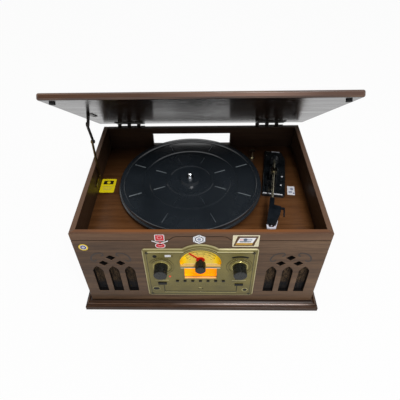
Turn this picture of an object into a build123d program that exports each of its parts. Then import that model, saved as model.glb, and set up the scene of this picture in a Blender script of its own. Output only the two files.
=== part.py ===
from build123d import *
import math
import os

# Record player in a wooden table cabinet, lid propped open, in millimetres.
# X runs to the right, Y to the back, Z up. The pieces are drawn from the middle of the
# cabinet, on the surface that the feet stand on. The saved origin lies on that surface too,
# below the middle of the box that the whole object fills, knobs and rear sockets included.

# Cabinet boards
cabinet_width = 424
cabinet_depth = 310
cabinet_height = 213
board = 9
deck_rise = 162.5
deck_thickness = 9
cleat_size = 11
foot_height = 4
foot_radius = 12
foot_inset = 34
opening_top_gap = 2

# Plinth moulding round the front and sides: a flat band, a small bead, then a hollow
plinth_height = 17
plinth_reach = 13
plinth_band = 9
bead_step = 0.8
bead_lip = 1.2
bead_swell = 1.6
bead_middle = 2.4
bead_height = 3.4
hollow_start = 4.2
hollow_middle = 8.5
hollow_drop = 2.3
plinth_top_land = 1.5

# Groove in the front panel, measured down from the rim
groove_drop = 17.5
groove_crest_drop = 7.6
groove_crest_half = 42.5
groove_shoulder = 9
groove_width = 1.4
groove_depth = 0.9
groove_bend = 14
groove_overrun = 1

# Speaker openings and speakers, measured up from the plinth's underside
grille_side_margin = 57.8
lancet_pitch = 28.6
lancet_width = 18.6
lancet_foot_rise = 46.5
lancet_shoulder_rise = 111
lancet_tip_rise = 125.6
lancet_belly = 0.64
lancet_belly_height = 0.56
diamond_top_rise = 149.3
diamond_low_rise = 133.8
diamond_half_pitch = 15
diamond_half_width = 9.6
diamond_half_height = 7.6
cloth_thickness = 0.6
cloth_rebate = 0.9
cloth_margin = 6
cloth_edge_gap = 0.3
speaker_rise = 96
speaker_radius = 38
speaker_flange = 7
flange_thickness = 2
basket_wall = 2
basket_depth = 22
magnet_radius = 20
magnet_depth = 34
coil_space = 24
cone_play = 0.3
cone_setback = 0.4
cone_thickness = 1.2
surround_width = 2
coil_radius = 8
coil_wall = 1
cone_depth = 15
coil_end = 20
cap_depth = 12
cap_thickness = 1

# Window in the back panel
window_left = -105
window_right = 65
window_sill = 6.2
window_drop = 14.2

# Lid, its hinges and its rubber bumpers
lid_width = 445
lid_length = 319
lid_thickness = 10.2
lid_round = 3
lid_gap = 3.2
lid_open_angle = 38.45
hinge_back = 2.5
hinge_drop = 3
barrel_radius = 2.5
hinge_pin_radius = 1.25
hinge_bore_overrun = 1
pin_play = 0.05
knuckle_gap = 0.3
lid_knuckle_width = 8
hinge_width = 60
hinge_knuckle_pitch = 21
leaf_thickness = 1.2
case_leaf_height = 26
lid_leaf_length = 34
left_hinge_x = -182
right_hinge_x = 120
bumper_radius = 4.5
bumper_x = 207.5
bumper_reach = 302
leaf_shoulder = 1.5
lid_leaf_gap = 1

# Two-arm stay that holds the lid, on the left wall
stay_tab_reach = 176.5
stay_tab_hang = 17.9
stay_foot_y = 18
stay_foot_above_deck = 24.5
stay_upper_length = 46.2
stay_lower_length = 79
stay_arm_half = 3.6
stay_plate = 2
stay_clearance = 0.3
stay_pin_radius = 2
stay_foot_tail = 23
stay_foot_dip = 5
stay_cap_thickness = 1.2
stay_cap_overhang = 1.2
elbow_head = 1.1
elbow_head_overhang = 0.8
elbow_cap = 1.4
elbow_cap_overhang = 1
stay_slack = 0.05
tab_front = 6
tab_back = 8
tab_narrow = 5
tab_flange_width = 9
tab_flange_front = 2
tab_flange_back = 32

# Platter, spindle and belt drive, heights above the deck
platter_x = -20
platter_y = 13
platter_flange_radius = 139.5
platter_rim_radius = 137
platter_lip_width = 8
platter_flange_base = 8
platter_flange_thickness = 3
platter_top = 21
platter_face = 18
platter_underside = 13.5
platter_band_inner = 79
platter_band_outer = 94
platter_band_drop = 2
platter_ring_inner = 40
platter_ring_outer = 47
platter_ring_rise = 2.3
hub_radius = 20
hub_top = 24.5
rib_count = 8
rib_height = 0.8
rib_width = 1.4
outer_rib_start = 98.5
outer_rib_end = 125
inner_rib_start = 51
inner_rib_end = 76
sleeve_radius = 9
platter_edge_step = 1
platter_skirt = 3
flange_rise = 0.6
rib_root = 0.5
belt_ring_radius = 100
belt_ring_wall = 3
belt_ring_base = 3.5
spindle_radius = 3.55
shaft_bearing_radius = 4.2
running_fit = 0.05
spindle_top = 35
spindle_nose = 2
spindle_nose_radius = 1.6
bearing_boss_radius = 8
bearing_boss_top = 5
bearing_flange_radius = 16
bearing_flange_thickness = 2
sleeve_gap = 0.3
clip_thickness = 1
clip_radius = 6.5
clip_slot = 3.2
clip_turn = 60
pulley_distance = 118
pulley_direction = 135
pulley_radius = 6
pulley_height = 7
pulley_flange = 1.6
pulley_flange_thickness = 0.8
pulley_hole_margin = 6
belt_thickness = 0.7
belt_width = 4
belt_play = 0.3
motor_radius = 19
motor_height = 21
motor_shaft_radius = 1
motor_plate = 1.6
motor_plate_margin = 8
motor_nose_radius = 3
motor_nose_height = 3
motor_shaft_clearance = 3
adapter_x = 111
adapter_y = 106
adapter_height = 19
adapter_foot = 3
adapter_foot_height = 1.5
adapter_cap_overhang = 2.5
adapter_cone_height = 3
adapter_cap_height = 1

# Tonearm, measured from its swing axis: rightwards, forwards and above the deck
arm_x = 143.9
arm_y = 23
arm_angle = 10
base_angle = 9
base_left = -18.2
base_right = 25
base_front = 41
base_back = -97
base_height = 6.5
base_front_corner = 3
base_front_cut = 4
base_tail_start = 23
base_tail_cut = 9
base_chamfer = 0.8
base_pad_height = 1
base_pad_sink = 1
base_pad_left = 3
base_pad_right = 4
base_pad_front = 5
base_pad_back = 26
base_stem_gap = 0.3
swing_post_radius = 9
swing_post_top = 14
swing_pin_radius = 3
swing_pin_height = 3.4
swing_gap = 0.3
yoke_half_width = 7.5
yoke_wall = 1.6
yoke_length = 15
yoke_cap = 2
yoke_rise = 4.5
lift_axis_height = 31
lift_pin_radius = 1.4
lift_pin_overhang = 0.8
tube_radius = 2.4
tube_front = 84
tube_back = -42
tube_block_length = 10
tube_block_height = 8
counterweight_radius = 7.5
counterweight_length = 12
counterweight_end = 2
head_start = 80
head_length = 60
head_top = 35
head_floor = 26.5
stylus_height = 23.3
stylus_forward = 141
stylus_right = 2.2
neck_half = 4
neck_length = 18
head_left = 4.6
head_left_front = 6.2
head_right_front = 10
head_right_chin = 12
head_right = 16
head_slope_start = 30
head_nose_height = 2
pocket_left = 3
pocket_right = 8.6
pocket_length = 27
pocket_height = 2.2
finger_drop = 4
finger_thickness = 2
finger_root = 15.5
finger_reach = 23
finger_width = 2.4
finger_length = 42
cartridge_left = 2.6
cartridge_right = 8.2
cartridge_drop = 1.6
cartridge_fit = 0.2
guard_reach = 7.5
guard_rise = 0.5
guard_wall = 3
guard_left = 6.4
guard_right = 12.6
stylus_tip_radius = 0.3
stylus_root_radius = 1.3

# Arm rest, cue lever and the two flat levers on the tonearm's base
rest_forward = 33
rest_half_length = 3
rest_left = -1.5
rest_right = 4.7
rest_wall = 1.5
rest_horn = 5
arm_gap = 0.3
cue_x = -10
cue_back = 17
cue_front = 37.5
cue_z = 10
cue_half_width = 1.3
cue_thickness = 2.2
cue_hub_radius = 1.9
cue_hub_rise = 0.9
cue_block_margin = 0.1
cue_block_half_length = 2
cue_block_drop = 1.3
cue_bar_reach = 8
cue_bar_thickness = 2.4
cue_bar_end = 3.2
cue_bar_height = 1.8
speed_x = 18
speed_back = -22
speed_front = -6
stop_x = 16
stop_back = 8
stop_front = 20
lever_post_radius = 1.5
lever_post_height = 4.5
lever_half_width = 1.8
lever_thickness = 1.6
lever_gap = 1.3
lever_eye_radius = 3.2
lever_grip_length = 3
lever_grip_height = 4

# Fascia with the dial, knobs and keys, heights measured up from the plinth's underside
fascia_half_width = 98
fascia_bottom = 37.5
fascia_top = 175.5
fascia_base_layer = 2.4
fascia_face_layer = 1.6
fascia_border = 6
fascia_corner = 5.5
fascia_chamfer = 1
opening_margin = 8
dial_x = 0.5
dial_rise = 140
dial_window_radius = 36
dial_arch_radius = 47
dial_ring_width = 2.5
dial_ring_rise = 0.8
dial_divider_rise = 129.6
dial_divider_height = 3.4
lower_window_left = -28
lower_window_right = 29
lower_window_bottom = 95
dial_margin = 3
dial_pocket_depth = 7
pocket_play = 1
lens_thickness = 1.4
scale_thickness = 1.2
needle_length = 27
needle_hub_radius = 7.6
needle_thickness = 1
needle_rest_angle = 46
needle_root_half = 1.6
needle_tip_half = 1
needle_gap = 0.8
scale_gap = 0.3
tuning_knob_radius = 9
tuning_knob_length = 15
knob_x = 68
knob_rise = 130.5
knob_radius = 11.5
knob_length = 19
knob_flutes = 18
knob_gap = 0.4
knob_chamfer = 0.8
flute_radius = 0.9
flute_offset = 0.4
flute_stop = 3
fewer_flutes = 4
shaft_hole_gap = 0.5
shaft_radius = 3
ring_radius = 22
ring_rise = 0.5
ring_channel_outer = 2
ring_channel_inner = 5
button_count = 7
button_pitch = 13.85
button_rise = 87.5
button_width = 5.4
button_height = 3.8
button_stand = 1.5
button_clearance = 0.3
button_travel = 1.2
button_corner = 0.8
button_stem_rise = 0.6
button_stem_width = 3.4
button_stem_height = 2.6
button_depth = 3
power_x = -69.3
power_rise = 79.6
power_width = 15.4
power_height = 6.4
open_x = 70.1
open_rise = 76
open_width = 15.4
open_height = 5.2
led_x = -54.3
led_rise = 101.3
led_radius = 1.6
led_fit = 0.1
led_stand = 0.5

# Controls behind the fascia
pot_radius = 8.5
pot_depth = 8
pot_inset = 1
pot_bush_wall = 1.5
pot_end_wall = 1
shaft_end_gap = 2
switch_height = 4
switch_gap = 0.3
switch_half = 3
switch_low = 2
switch_high = 2.5
large_switch_half = 4
large_switch_high = 5
board_thickness = 1.6
board_side_gap = 4
board_lower_gap = 2
board_upper_gap = 3
can_x = 30
can_rise = 6
can_radius = 6
can_length = 16.4
sensor_x = -76.9
sensor_rise = 158.7
sensor_radius = 3.3
sensor_play = 0.5
insert_gap = 0.05
insert_setback = 0.3
oval_x = -81.7
oval_rise = 62.2
oval_width = 12
oval_height = 8.4
oval_tab = 1
oval_tab_thickness = 2
oval_setback = 0.5
jack_x = 81.9
jack_rise = 59
jack_bore_radius = 1.8
jack_bore_depth = 14
jack_nut_radius = 3.6
jack_body_half = 5
jack_end_wall = 3

# Disc drive behind the fascia
tray_half_width = 66
tray_bottom = 51.5
tray_top = 73
tray_flap = 2.4
tray_slot_gap = 0.4
tray_body_half = 62.5
tray_body_length = 136
tray_plate_rise = 57
tray_plate_thickness = 6
disc_radius = 60.5
drive_half_width = 70
drive_length = 178
drive_front_gap = 2
drive_bottom = 47
drive_top = 74
drive_wall = 2
drive_side_play = 0.5
drive_slot_play = 0.4
drive_hub_radius = 12
drive_hub_height = 1.2
drive_leg_radius = 4
drive_leg_inset = 6
drive_leg_setback = 12
drive_ledge = 3
tray_front_set = 0.2
tray_end_gap = 2
disc_end_margin = 10
disc_recess_floor = 2.5
tray_cut_half = 16
tray_cut_front = 18
tray_cut_back = 6

# Electronics at the back
jack_panel_x = -105
jack_panel_width = 96
jack_panel_rise = 84
jack_panel_height = 56
jack_panel_thickness = 2
rca_radius = 4.15
rca_length = 8
rca_nut = 1.2
rca_pitch = 22
rca_nut_radius = 6
rca_core_radius = 1.6
rca_core_floor = 3
jack_hole_margin = 6
jack_box_half_width = 30
jack_box_half_height = 14
rear_box_depth = 16
inlet_x = 128
inlet_rise = 50
inlet_width = 30
inlet_height = 20
inlet_hole_margin_x = 3
inlet_hole_margin_z = 2
inlet_box_gap_x = 4
inlet_box_gap_z = 3
socket_pitch = 7
socket_height = 8
socket_depth = 13
socket_pin_radius = 1.3
socket_pin_setback = 3
transformer_x = 120
transformer_y = 62
transformer_width = 52
transformer_depth = 44
transformer_height = 44
coil_overhang = 8
coil_side_gap = 10
coil_end_gap = 6
transformer_foot = 10
transformer_foot_half = 6
transformer_foot_thickness = 1.5

# Screw heads
screw_radius = 2.4
screw_head = 1
fascia_screw_radius = 1.8
fascia_screw_rise = 0.5
fascia_screw_inset = 8
hinge_screw_start = 16
hinge_screw_end = 8
hinge_screw_rise = 8
jack_screw_inset = 4
stay_screw_reach = 20
stay_screw_dip = 4.4
lid_screw_inset = 10
lid_screw_back = 7
tab_screw_x = 5
tab_screw_back = 26

# Places that follow from the sizes above
base_z = foot_height
rim_z = base_z + cabinet_height
deck_z = base_z + deck_rise
deck_under = deck_z - deck_thickness
half_width = cabinet_width / 2
half_depth = cabinet_depth / 2
speaker_x = half_width - grille_side_margin
inner_x = half_width - board
inner_y = half_depth - board
floor_z = base_z + board
hinge_y = half_depth + hinge_back
hinge_z = rim_z - hinge_drop
lid_under = hinge_drop + lid_gap
fascia_front = -half_depth - fascia_base_layer - fascia_face_layer
dial_z = base_z + dial_rise
pocket_floor = -half_depth + dial_pocket_depth
knob_back = fascia_front - dial_ring_rise - knob_gap
jack_panel_back = half_depth + jack_panel_thickness
middle_y = (knob_back - knob_length + jack_panel_back + rca_nut + rca_length) / 2


def outline(points):
    turn = sum(a[0] * b[1] - b[0] * a[1] for a, b in zip(points, points[1:] + points[:1]))
    ordered = points if turn > 0 else points[::-1]
    return make_face(Polyline(*ordered, close=True))


def block(x0, x1, y0, y1, z0, z1):
    return Pos(x0, y0, z0) * Box(x1 - x0, y1 - y0, z1 - z0, align=(Align.MIN,) * 3)


def rod_x(y, z, x0, x1, radius):
    rod = Cylinder(radius, x1 - x0, align=(Align.CENTER, Align.CENTER, Align.MIN))
    return Pos(x0, y, z) * Rot(0, 90, 0) * rod


def rod_y(x, z, y0, y1, radius):
    rod = Cylinder(radius, y1 - y0, align=(Align.CENTER, Align.CENTER, Align.MIN))
    return Pos(x, y0, z) * Rot(-90, 0, 0) * rod


def rod_z(x, y, z0, z1, radius):
    rod = Cylinder(radius, z1 - z0, align=(Align.CENTER, Align.CENTER, Align.MIN))
    return Pos(x, y, z0) * rod


# A flat shape drawn as seen from the front, given thickness from y0 back to y1.
def front_view(shape, y0, y1):
    plane = Plane(origin=(0, y1, 0), x_dir=(1, 0, 0), z_dir=(0, -1, 0))
    return extrude(plane * shape, amount=y1 - y0)


# A flat shape drawn in Y and Z, given thickness from x0 to x1.
def side_view(shape, x0, x1):
    plane = Plane(origin=(x0, 0, 0), x_dir=(0, 1, 0), z_dir=(1, 0, 0))
    return extrude(plane * shape, amount=x1 - x0)


def turned(points):
    return revolve(Plane.XZ * outline(points), axis=Axis.Z)


def panel_rect(x, rise, width, height):
    return Pos(x, base_z + rise) * Rectangle(width, height)


def save(node, shape):
    export_step(Pos(0, -middle_y, 0) * shape, os.path.join("parts", node + ".step"))


# Pointed opening, drawn as seen from the front.
def lancet(x, foot, shoulder, tip, width):
    half = width / 2
    bulge_x = half * lancet_belly
    bulge_z = shoulder + (tip - shoulder) * lancet_belly_height
    edges = [
        Polyline((x - half, shoulder), (x - half, foot), (x + half, foot), (x + half, shoulder)),
        ThreePointArc((x + half, shoulder), (x + bulge_x, bulge_z), (x, tip)),
        ThreePointArc((x, tip), (x - bulge_x, bulge_z), (x - half, shoulder)),
    ]
    return make_face(edges)


def diamond(x, rise):
    z = base_z + rise
    return outline([
        (x - diamond_half_width, z),
        (x, z - diamond_half_height),
        (x + diamond_half_width, z),
        (x, z + diamond_half_height),
    ])


def grille_openings(side):
    shapes = []
    for step in (-1, 0, 1):
        shapes.append(lancet(
            side * speaker_x + step * lancet_pitch,
            base_z + lancet_foot_rise,
            base_z + lancet_shoulder_rise,
            base_z + lancet_tip_rise,
            lancet_width,
        ))
    shapes.append(diamond(side * speaker_x, diamond_top_rise))
    for step in (-1, 1):
        shapes.append(diamond(side * speaker_x + step * diamond_half_pitch, diamond_low_rise))
    return shapes


def cloth_area(side):
    left = side * speaker_x - lancet_pitch - lancet_width / 2 - cloth_margin
    right = side * speaker_x + lancet_pitch + lancet_width / 2 + cloth_margin
    bottom = base_z + lancet_foot_rise - cloth_margin
    top = base_z + diamond_top_rise + diamond_half_height + cloth_margin
    return left, right, bottom, top


def front_panel():
    shape = outline([
        (-half_width, -half_depth),
        (half_width, -half_depth),
        (inner_x, -inner_y),
        (-inner_x, -inner_y),
    ])
    panel = Pos(0, 0, base_z) * extrude(shape, amount=cabinet_height)
    opening_bottom = base_z + fascia_bottom + opening_margin
    opening_half = fascia_half_width - opening_margin
    panel -= block(-opening_half, opening_half, -half_depth, -inner_y, opening_bottom,
                   deck_under - opening_top_gap)
    pocket = Pos(dial_x, dial_z) * Circle(dial_window_radius + dial_margin + pocket_play)
    panel -= front_view(pocket, -half_depth, pocket_floor)
    sensor = Pos(sensor_x, base_z + sensor_rise) * Circle(sensor_radius + sensor_play)
    panel -= front_view(sensor, -half_depth, pocket_floor)
    for side in (-1, 1):
        for shape in grille_openings(side):
            panel -= front_view(shape, -half_depth, -inner_y)
        left, right, bottom, top = cloth_area(side)
        panel -= block(left, right, -inner_y - cloth_rebate, -inner_y, bottom, top)
    low = rim_z - groove_drop
    high = rim_z - groove_crest_drop
    route = FilletPolyline(
        (-half_width - groove_overrun, low),
        (-groove_crest_half - groove_shoulder, low),
        (-groove_crest_half, high),
        (groove_crest_half, high),
        (groove_crest_half + groove_shoulder, low),
        (half_width + groove_overrun, low),
        radius=groove_bend,
    )
    groove = trace(route, line_width=groove_width)
    panel -= front_view(groove, -half_depth, -half_depth + groove_depth)
    return panel


def side_panels():
    panels = []
    for side in (-1, 1):
        shape = outline([
            (side * half_width, -half_depth),
            (side * inner_x, -inner_y),
            (side * inner_x, half_depth),
            (side * half_width, half_depth),
        ])
        panels.append(Pos(0, 0, base_z) * extrude(shape, amount=cabinet_height))
    return Compound(panels)


def back_panel():
    panel = block(-inner_x, inner_x, inner_y, half_depth, base_z, rim_z)
    panel -= block(window_left, window_right, inner_y, half_depth, deck_z + window_sill,
                   rim_z - window_drop)
    hole = panel_rect(jack_panel_x, jack_panel_rise, jack_panel_width - 2 * jack_hole_margin,
                      jack_panel_height - 2 * jack_hole_margin)
    panel -= front_view(hole, inner_y, half_depth)
    hole = panel_rect(inlet_x, inlet_rise, inlet_width - 2 * inlet_hole_margin_x,
                      inlet_height - 2 * inlet_hole_margin_z)
    panel -= front_view(hole, inner_y, half_depth)
    return panel


def bottom_board():
    return block(-inner_x, inner_x, -inner_y, inner_y, base_z, floor_z)


# Profile of the moulding: outward reach from the cabinet face, height above its underside.
def plinth_profile():
    bead_z = plinth_band + bead_step
    bead_top = bead_z + bead_height
    return make_face([
        Polyline((0, plinth_height), (0, 0), (plinth_reach, 0), (plinth_reach, plinth_band),
                 (plinth_reach - bead_lip, bead_z)),
        ThreePointArc((plinth_reach - bead_lip, bead_z), (plinth_reach - bead_swell, bead_z + bead_middle),
                      (plinth_reach - hollow_start, bead_top)),
        ThreePointArc((plinth_reach - hollow_start, bead_top),
                      (plinth_reach - hollow_middle, plinth_height - hollow_drop),
                      (plinth_top_land, plinth_height)),
        Line((plinth_top_land, plinth_height), (0, plinth_height)),
    ])


def plinth_moulding():
    reach_x = half_width + plinth_reach
    reach_y = half_depth + plinth_reach
    plane = Plane(origin=(-reach_x, -half_depth, base_z), x_dir=(0, -1, 0), z_dir=(-1, 0, 0))
    length = extrude(plane * plinth_profile(), amount=-2 * reach_x)
    mitre = outline([(-reach_x, -reach_y), (reach_x, -reach_y), (half_width, -half_depth),
                     (-half_width, -half_depth)])
    pieces = [length & (Pos(0, 0, base_z) * extrude(mitre, amount=plinth_height))]
    plane = Plane(origin=(half_width, half_depth, base_z), x_dir=(1, 0, 0), z_dir=(0, -1, 0))
    length = extrude(plane * plinth_profile(), amount=cabinet_depth + plinth_reach)
    mitre = outline([(half_width, -half_depth), (reach_x, -reach_y), (reach_x, half_depth),
                     (half_width, half_depth)])
    side = length & (Pos(0, 0, base_z) * extrude(mitre, amount=plinth_height))
    pieces.append(side)
    pieces.append(mirror(side, about=Plane.YZ))
    return Compound([solid for piece in pieces for solid in piece.solids()])


def rubber_feet():
    feet = []
    for x in (-half_width + foot_inset, half_width - foot_inset):
        for y in (-half_depth + foot_inset, half_depth - foot_inset):
            feet.append(rod_z(x, y, 0, foot_height, foot_radius))
    return Compound(feet)


def deck_cleats():
    top = deck_under
    bottom = deck_under - cleat_size
    cleats = [block(-inner_x, inner_x, inner_y - cleat_size, inner_y, bottom, top)]
    for side in (-1, 1):
        near = side * (inner_x - cleat_size)
        far = side * inner_x
        cleats.append(block(min(near, far), max(near, far), -inner_y, inner_y - cleat_size, bottom, top))
    return Compound(cleats)


def motor_place():
    angle = math.radians(pulley_direction)
    return platter_x + pulley_distance * math.cos(angle), platter_y + pulley_distance * math.sin(angle)


def deck_board():
    deck = block(-inner_x, inner_x, -inner_y, inner_y, deck_under, deck_z)
    deck -= rod_z(platter_x, platter_y, deck_under, deck_z, bearing_boss_radius)
    x, y = motor_place()
    deck -= rod_z(x, y, deck_under, deck_z, pulley_radius + pulley_hole_margin)
    deck -= rod_z(arm_x, arm_y, deck_under, deck_z, swing_post_radius)
    return deck


def grille_cloths():
    cloths = []
    for side in (-1, 1):
        left, right, bottom, top = cloth_area(side)
        front = -inner_y - cloth_rebate
        edge = cloth_edge_gap
        cloths.append(block(left + edge, right - edge, front, front + cloth_thickness,
                            bottom + edge, top - edge))
    return Compound(cloths)


def both_speakers(profile):
    halves = []
    for side in (-1, 1):
        place = Pos(side * speaker_x, -inner_y, base_z + speaker_rise) * Rot(-90, 0, 0)
        halves.append(place * turned(profile))
    return Compound([solid for half in halves for solid in half.solids()])


def speaker_frames():
    outer = speaker_radius
    inner = speaker_radius - speaker_flange
    throat = magnet_radius - basket_wall
    return both_speakers([
        (inner, 0),
        (outer, 0),
        (outer, flange_thickness),
        (outer - 2 * basket_wall, flange_thickness),
        (throat, basket_depth),
        (magnet_radius, basket_depth),
        (magnet_radius, magnet_depth),
        (0, magnet_depth),
        (0, coil_space),
        (throat - 1.5 * basket_wall, coil_space),
        (throat - basket_wall, basket_depth),
        (inner, 2 * flange_thickness),
    ])


def speaker_cones():
    outer = speaker_radius - speaker_flange - cone_play
    back = cone_setback + cone_thickness
    core = coil_radius - coil_wall
    return both_speakers([
        (outer, cone_setback),
        (outer, back),
        (outer - surround_width, back),
        (coil_radius, cone_depth),
        (coil_radius, coil_end),
        (core, coil_end),
        (core, cone_depth - coil_wall / 2),
        (0, cap_depth + cap_thickness),
        (0, cap_depth),
        (core, cone_depth - coil_wall / 2 - cap_thickness),
        (outer - surround_width - cone_thickness / 2, cone_setback),
    ])


# A piece drawn with the lid shut is turned up to the open rest position.
def raised(shape):
    return shape.rotate(Axis((0, hinge_y, hinge_z), (1, 0, 0)), -lid_open_angle)


def lid_panel():
    back = hinge_y - hinge_back
    bottom = hinge_z + lid_under
    panel = block(-lid_width / 2, lid_width / 2, back - lid_length, back, bottom, bottom + lid_thickness)
    panel = fillet(panel.edges(), lid_round)
    return raised(panel)


def lid_bumpers():
    bottom = rim_z
    bumpers = []
    for x in (-bumper_x, bumper_x):
        bumpers.append(raised(rod_z(x, hinge_y - bumper_reach, bottom, bottom + lid_gap, bumper_radius)))
    return Compound(bumpers)


def lid_knuckle_spans(start):
    return [(start + k * hinge_knuckle_pitch, start + k * hinge_knuckle_pitch + lid_knuckle_width)
            for k in range(3)]


def case_knuckle_spans(start):
    spans = []
    for left, right in lid_knuckle_spans(start):
        end = min(left + hinge_knuckle_pitch, start + hinge_width)
        spans.append((right + knuckle_gap, end - knuckle_gap))
    return spans


def case_hinges():
    hinges = []
    for start in (left_hinge_x, right_hinge_x):
        first = case_knuckle_spans(start)[0][0]
        last = case_knuckle_spans(start)[-1][1]
        leaf = block(first, last, half_depth, half_depth + leaf_thickness, hinge_z - case_leaf_height,
                     hinge_z - barrel_radius - leaf_shoulder)
        for left, right in case_knuckle_spans(start):
            leaf += rod_x(hinge_y, hinge_z, left, right, barrel_radius)
            leaf += block(left, right, half_depth, half_depth + leaf_thickness,
                          hinge_z - barrel_radius - 2 * leaf_shoulder, hinge_z)
        leaf += rod_x(hinge_y, hinge_z, start, start + hinge_width, hinge_pin_radius)
        hinges.append(leaf)
    return Compound([solid for leaf in hinges for solid in leaf.solids()])


def lid_hinge_leaves():
    leaves = []
    under = hinge_z + lid_under
    for start in (left_hinge_x, right_hinge_x):
        plate_end = hinge_y - lid_leaf_length
        leaf = block(start, start + hinge_width, plate_end, hinge_y - hinge_back - lid_leaf_gap,
                     under - leaf_thickness, under)
        for left, right in lid_knuckle_spans(start):
            leaf += rod_x(hinge_y, hinge_z, left, right, barrel_radius)
            ear = hinge_y + leaf_thickness / 2
            leaf += block(left, right, ear - leaf_thickness, ear, hinge_z, under)
            leaf += block(left, right, plate_end, ear, under - leaf_thickness, under)
        first = start - hinge_bore_overrun
        last = start + hinge_width + hinge_bore_overrun
        leaf -= rod_x(hinge_y, hinge_z, first, last, hinge_pin_radius + pin_play)
        leaves.append(raised(leaf))
    return Compound([solid for leaf in leaves for solid in leaf.solids()])


# Where the stay's pivots lie in Y and Z, with the lid open.
def lid_point(reach, height):
    angle = math.radians(lid_open_angle)
    y = hinge_y - reach * math.cos(angle) + height * math.sin(angle)
    z = hinge_z + reach * math.sin(angle) + height * math.cos(angle)
    return y, z


def stay_top():
    return lid_point(stay_tab_reach, lid_under - stay_tab_hang)


def stay_foot():
    return stay_foot_y, deck_z + stay_foot_above_deck


# The elbow of two arms, on the front or back side of the line between their outer pivots.
def stay_elbow():
    top_y, top_z = stay_top()
    foot_y, foot_z = stay_foot()
    span = math.hypot(top_y - foot_y, top_z - foot_z)
    reach = min(span, stay_lower_length + stay_upper_length - stay_slack)
    along = (stay_lower_length ** 2 - stay_upper_length ** 2 + reach ** 2) / (2 * reach)
    aside = math.sqrt(max(stay_lower_length ** 2 - along ** 2, 0))
    way = ((top_y - foot_y) / span, (top_z - foot_z) / span)
    return foot_y + way[0] * along + way[1] * aside, foot_z + way[1] * along - way[0] * aside


def stay_bar(start, end, x0, x1):
    length = math.hypot(end[0] - start[0], end[1] - start[1])
    angle = math.degrees(math.atan2(end[1] - start[1], end[0] - start[0]))
    bar = Pos(length / 2, 0) * SlotCenterToCenter(length, 2 * stay_arm_half)
    return side_view(Pos(*start) * Rot(0, 0, angle) * bar, x0, x1)


stay_wall_x = -inner_x
lower_arm_x = stay_wall_x + stay_plate + stay_clearance
upper_arm_x = lower_arm_x + stay_plate + stay_clearance
tab_x = upper_arm_x + stay_plate + stay_clearance
pivot_bore = stay_pin_radius + running_fit


def stay_screw_place():
    foot = stay_foot()
    return foot[0] - stay_screw_reach, foot[1] - stay_screw_dip


def stay_wall_bracket():
    foot = stay_foot()
    x1 = stay_wall_x + stay_plate
    tail = (foot[0] - stay_foot_tail, foot[1] - stay_foot_dip)
    bracket = stay_bar(tail, foot, stay_wall_x, x1)
    screw = stay_screw_place()
    bracket -= rod_x(screw[0], screw[1], x1 - screw_head, x1, screw_radius)
    cap_x = lower_arm_x + stay_plate + stay_clearance / 2
    bracket += rod_x(foot[0], foot[1], stay_wall_x, cap_x, stay_pin_radius)
    bracket += rod_x(foot[0], foot[1], cap_x, cap_x + stay_cap_thickness, stay_pin_radius + stay_cap_overhang)
    return bracket


def stay_lower_arm():
    foot = stay_foot()
    elbow = stay_elbow()
    arm = stay_bar(foot, elbow, lower_arm_x, lower_arm_x + stay_plate)
    arm -= rod_x(foot[0], foot[1], lower_arm_x, lower_arm_x + stay_plate, pivot_bore)
    arm += rod_x(elbow[0], elbow[1], lower_arm_x - elbow_head, lower_arm_x,
                 stay_pin_radius + elbow_head_overhang)
    return arm


def stay_upper_arm():
    top = stay_top()
    elbow = stay_elbow()
    arm = stay_bar(elbow, top, upper_arm_x, upper_arm_x + stay_plate)
    arm -= rod_x(top[0], top[1], upper_arm_x, upper_arm_x + stay_plate, pivot_bore)
    face = upper_arm_x + stay_plate
    arm += rod_x(elbow[0], elbow[1], face, face + elbow_cap, stay_pin_radius + elbow_cap_overhang)
    return arm


def stay_lid_bracket():
    y = hinge_y - stay_tab_reach
    z = hinge_z + lid_under
    tab = outline([(y - tab_front, z), (y + tab_back, z), (y + tab_narrow, z - stay_tab_hang),
                   (y - tab_narrow, z - stay_tab_hang)])
    bracket = side_view(tab, tab_x, tab_x + stay_plate)
    bracket += rod_x(y, z - stay_tab_hang, tab_x, tab_x + stay_plate, tab_narrow)
    bracket += block(tab_x, tab_x + tab_flange_width, y - tab_flange_front, y + tab_flange_back,
                     z - leaf_thickness, z)
    bracket += rod_x(y, z - stay_tab_hang, upper_arm_x, tab_x, stay_pin_radius)
    return raised(bracket)


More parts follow.
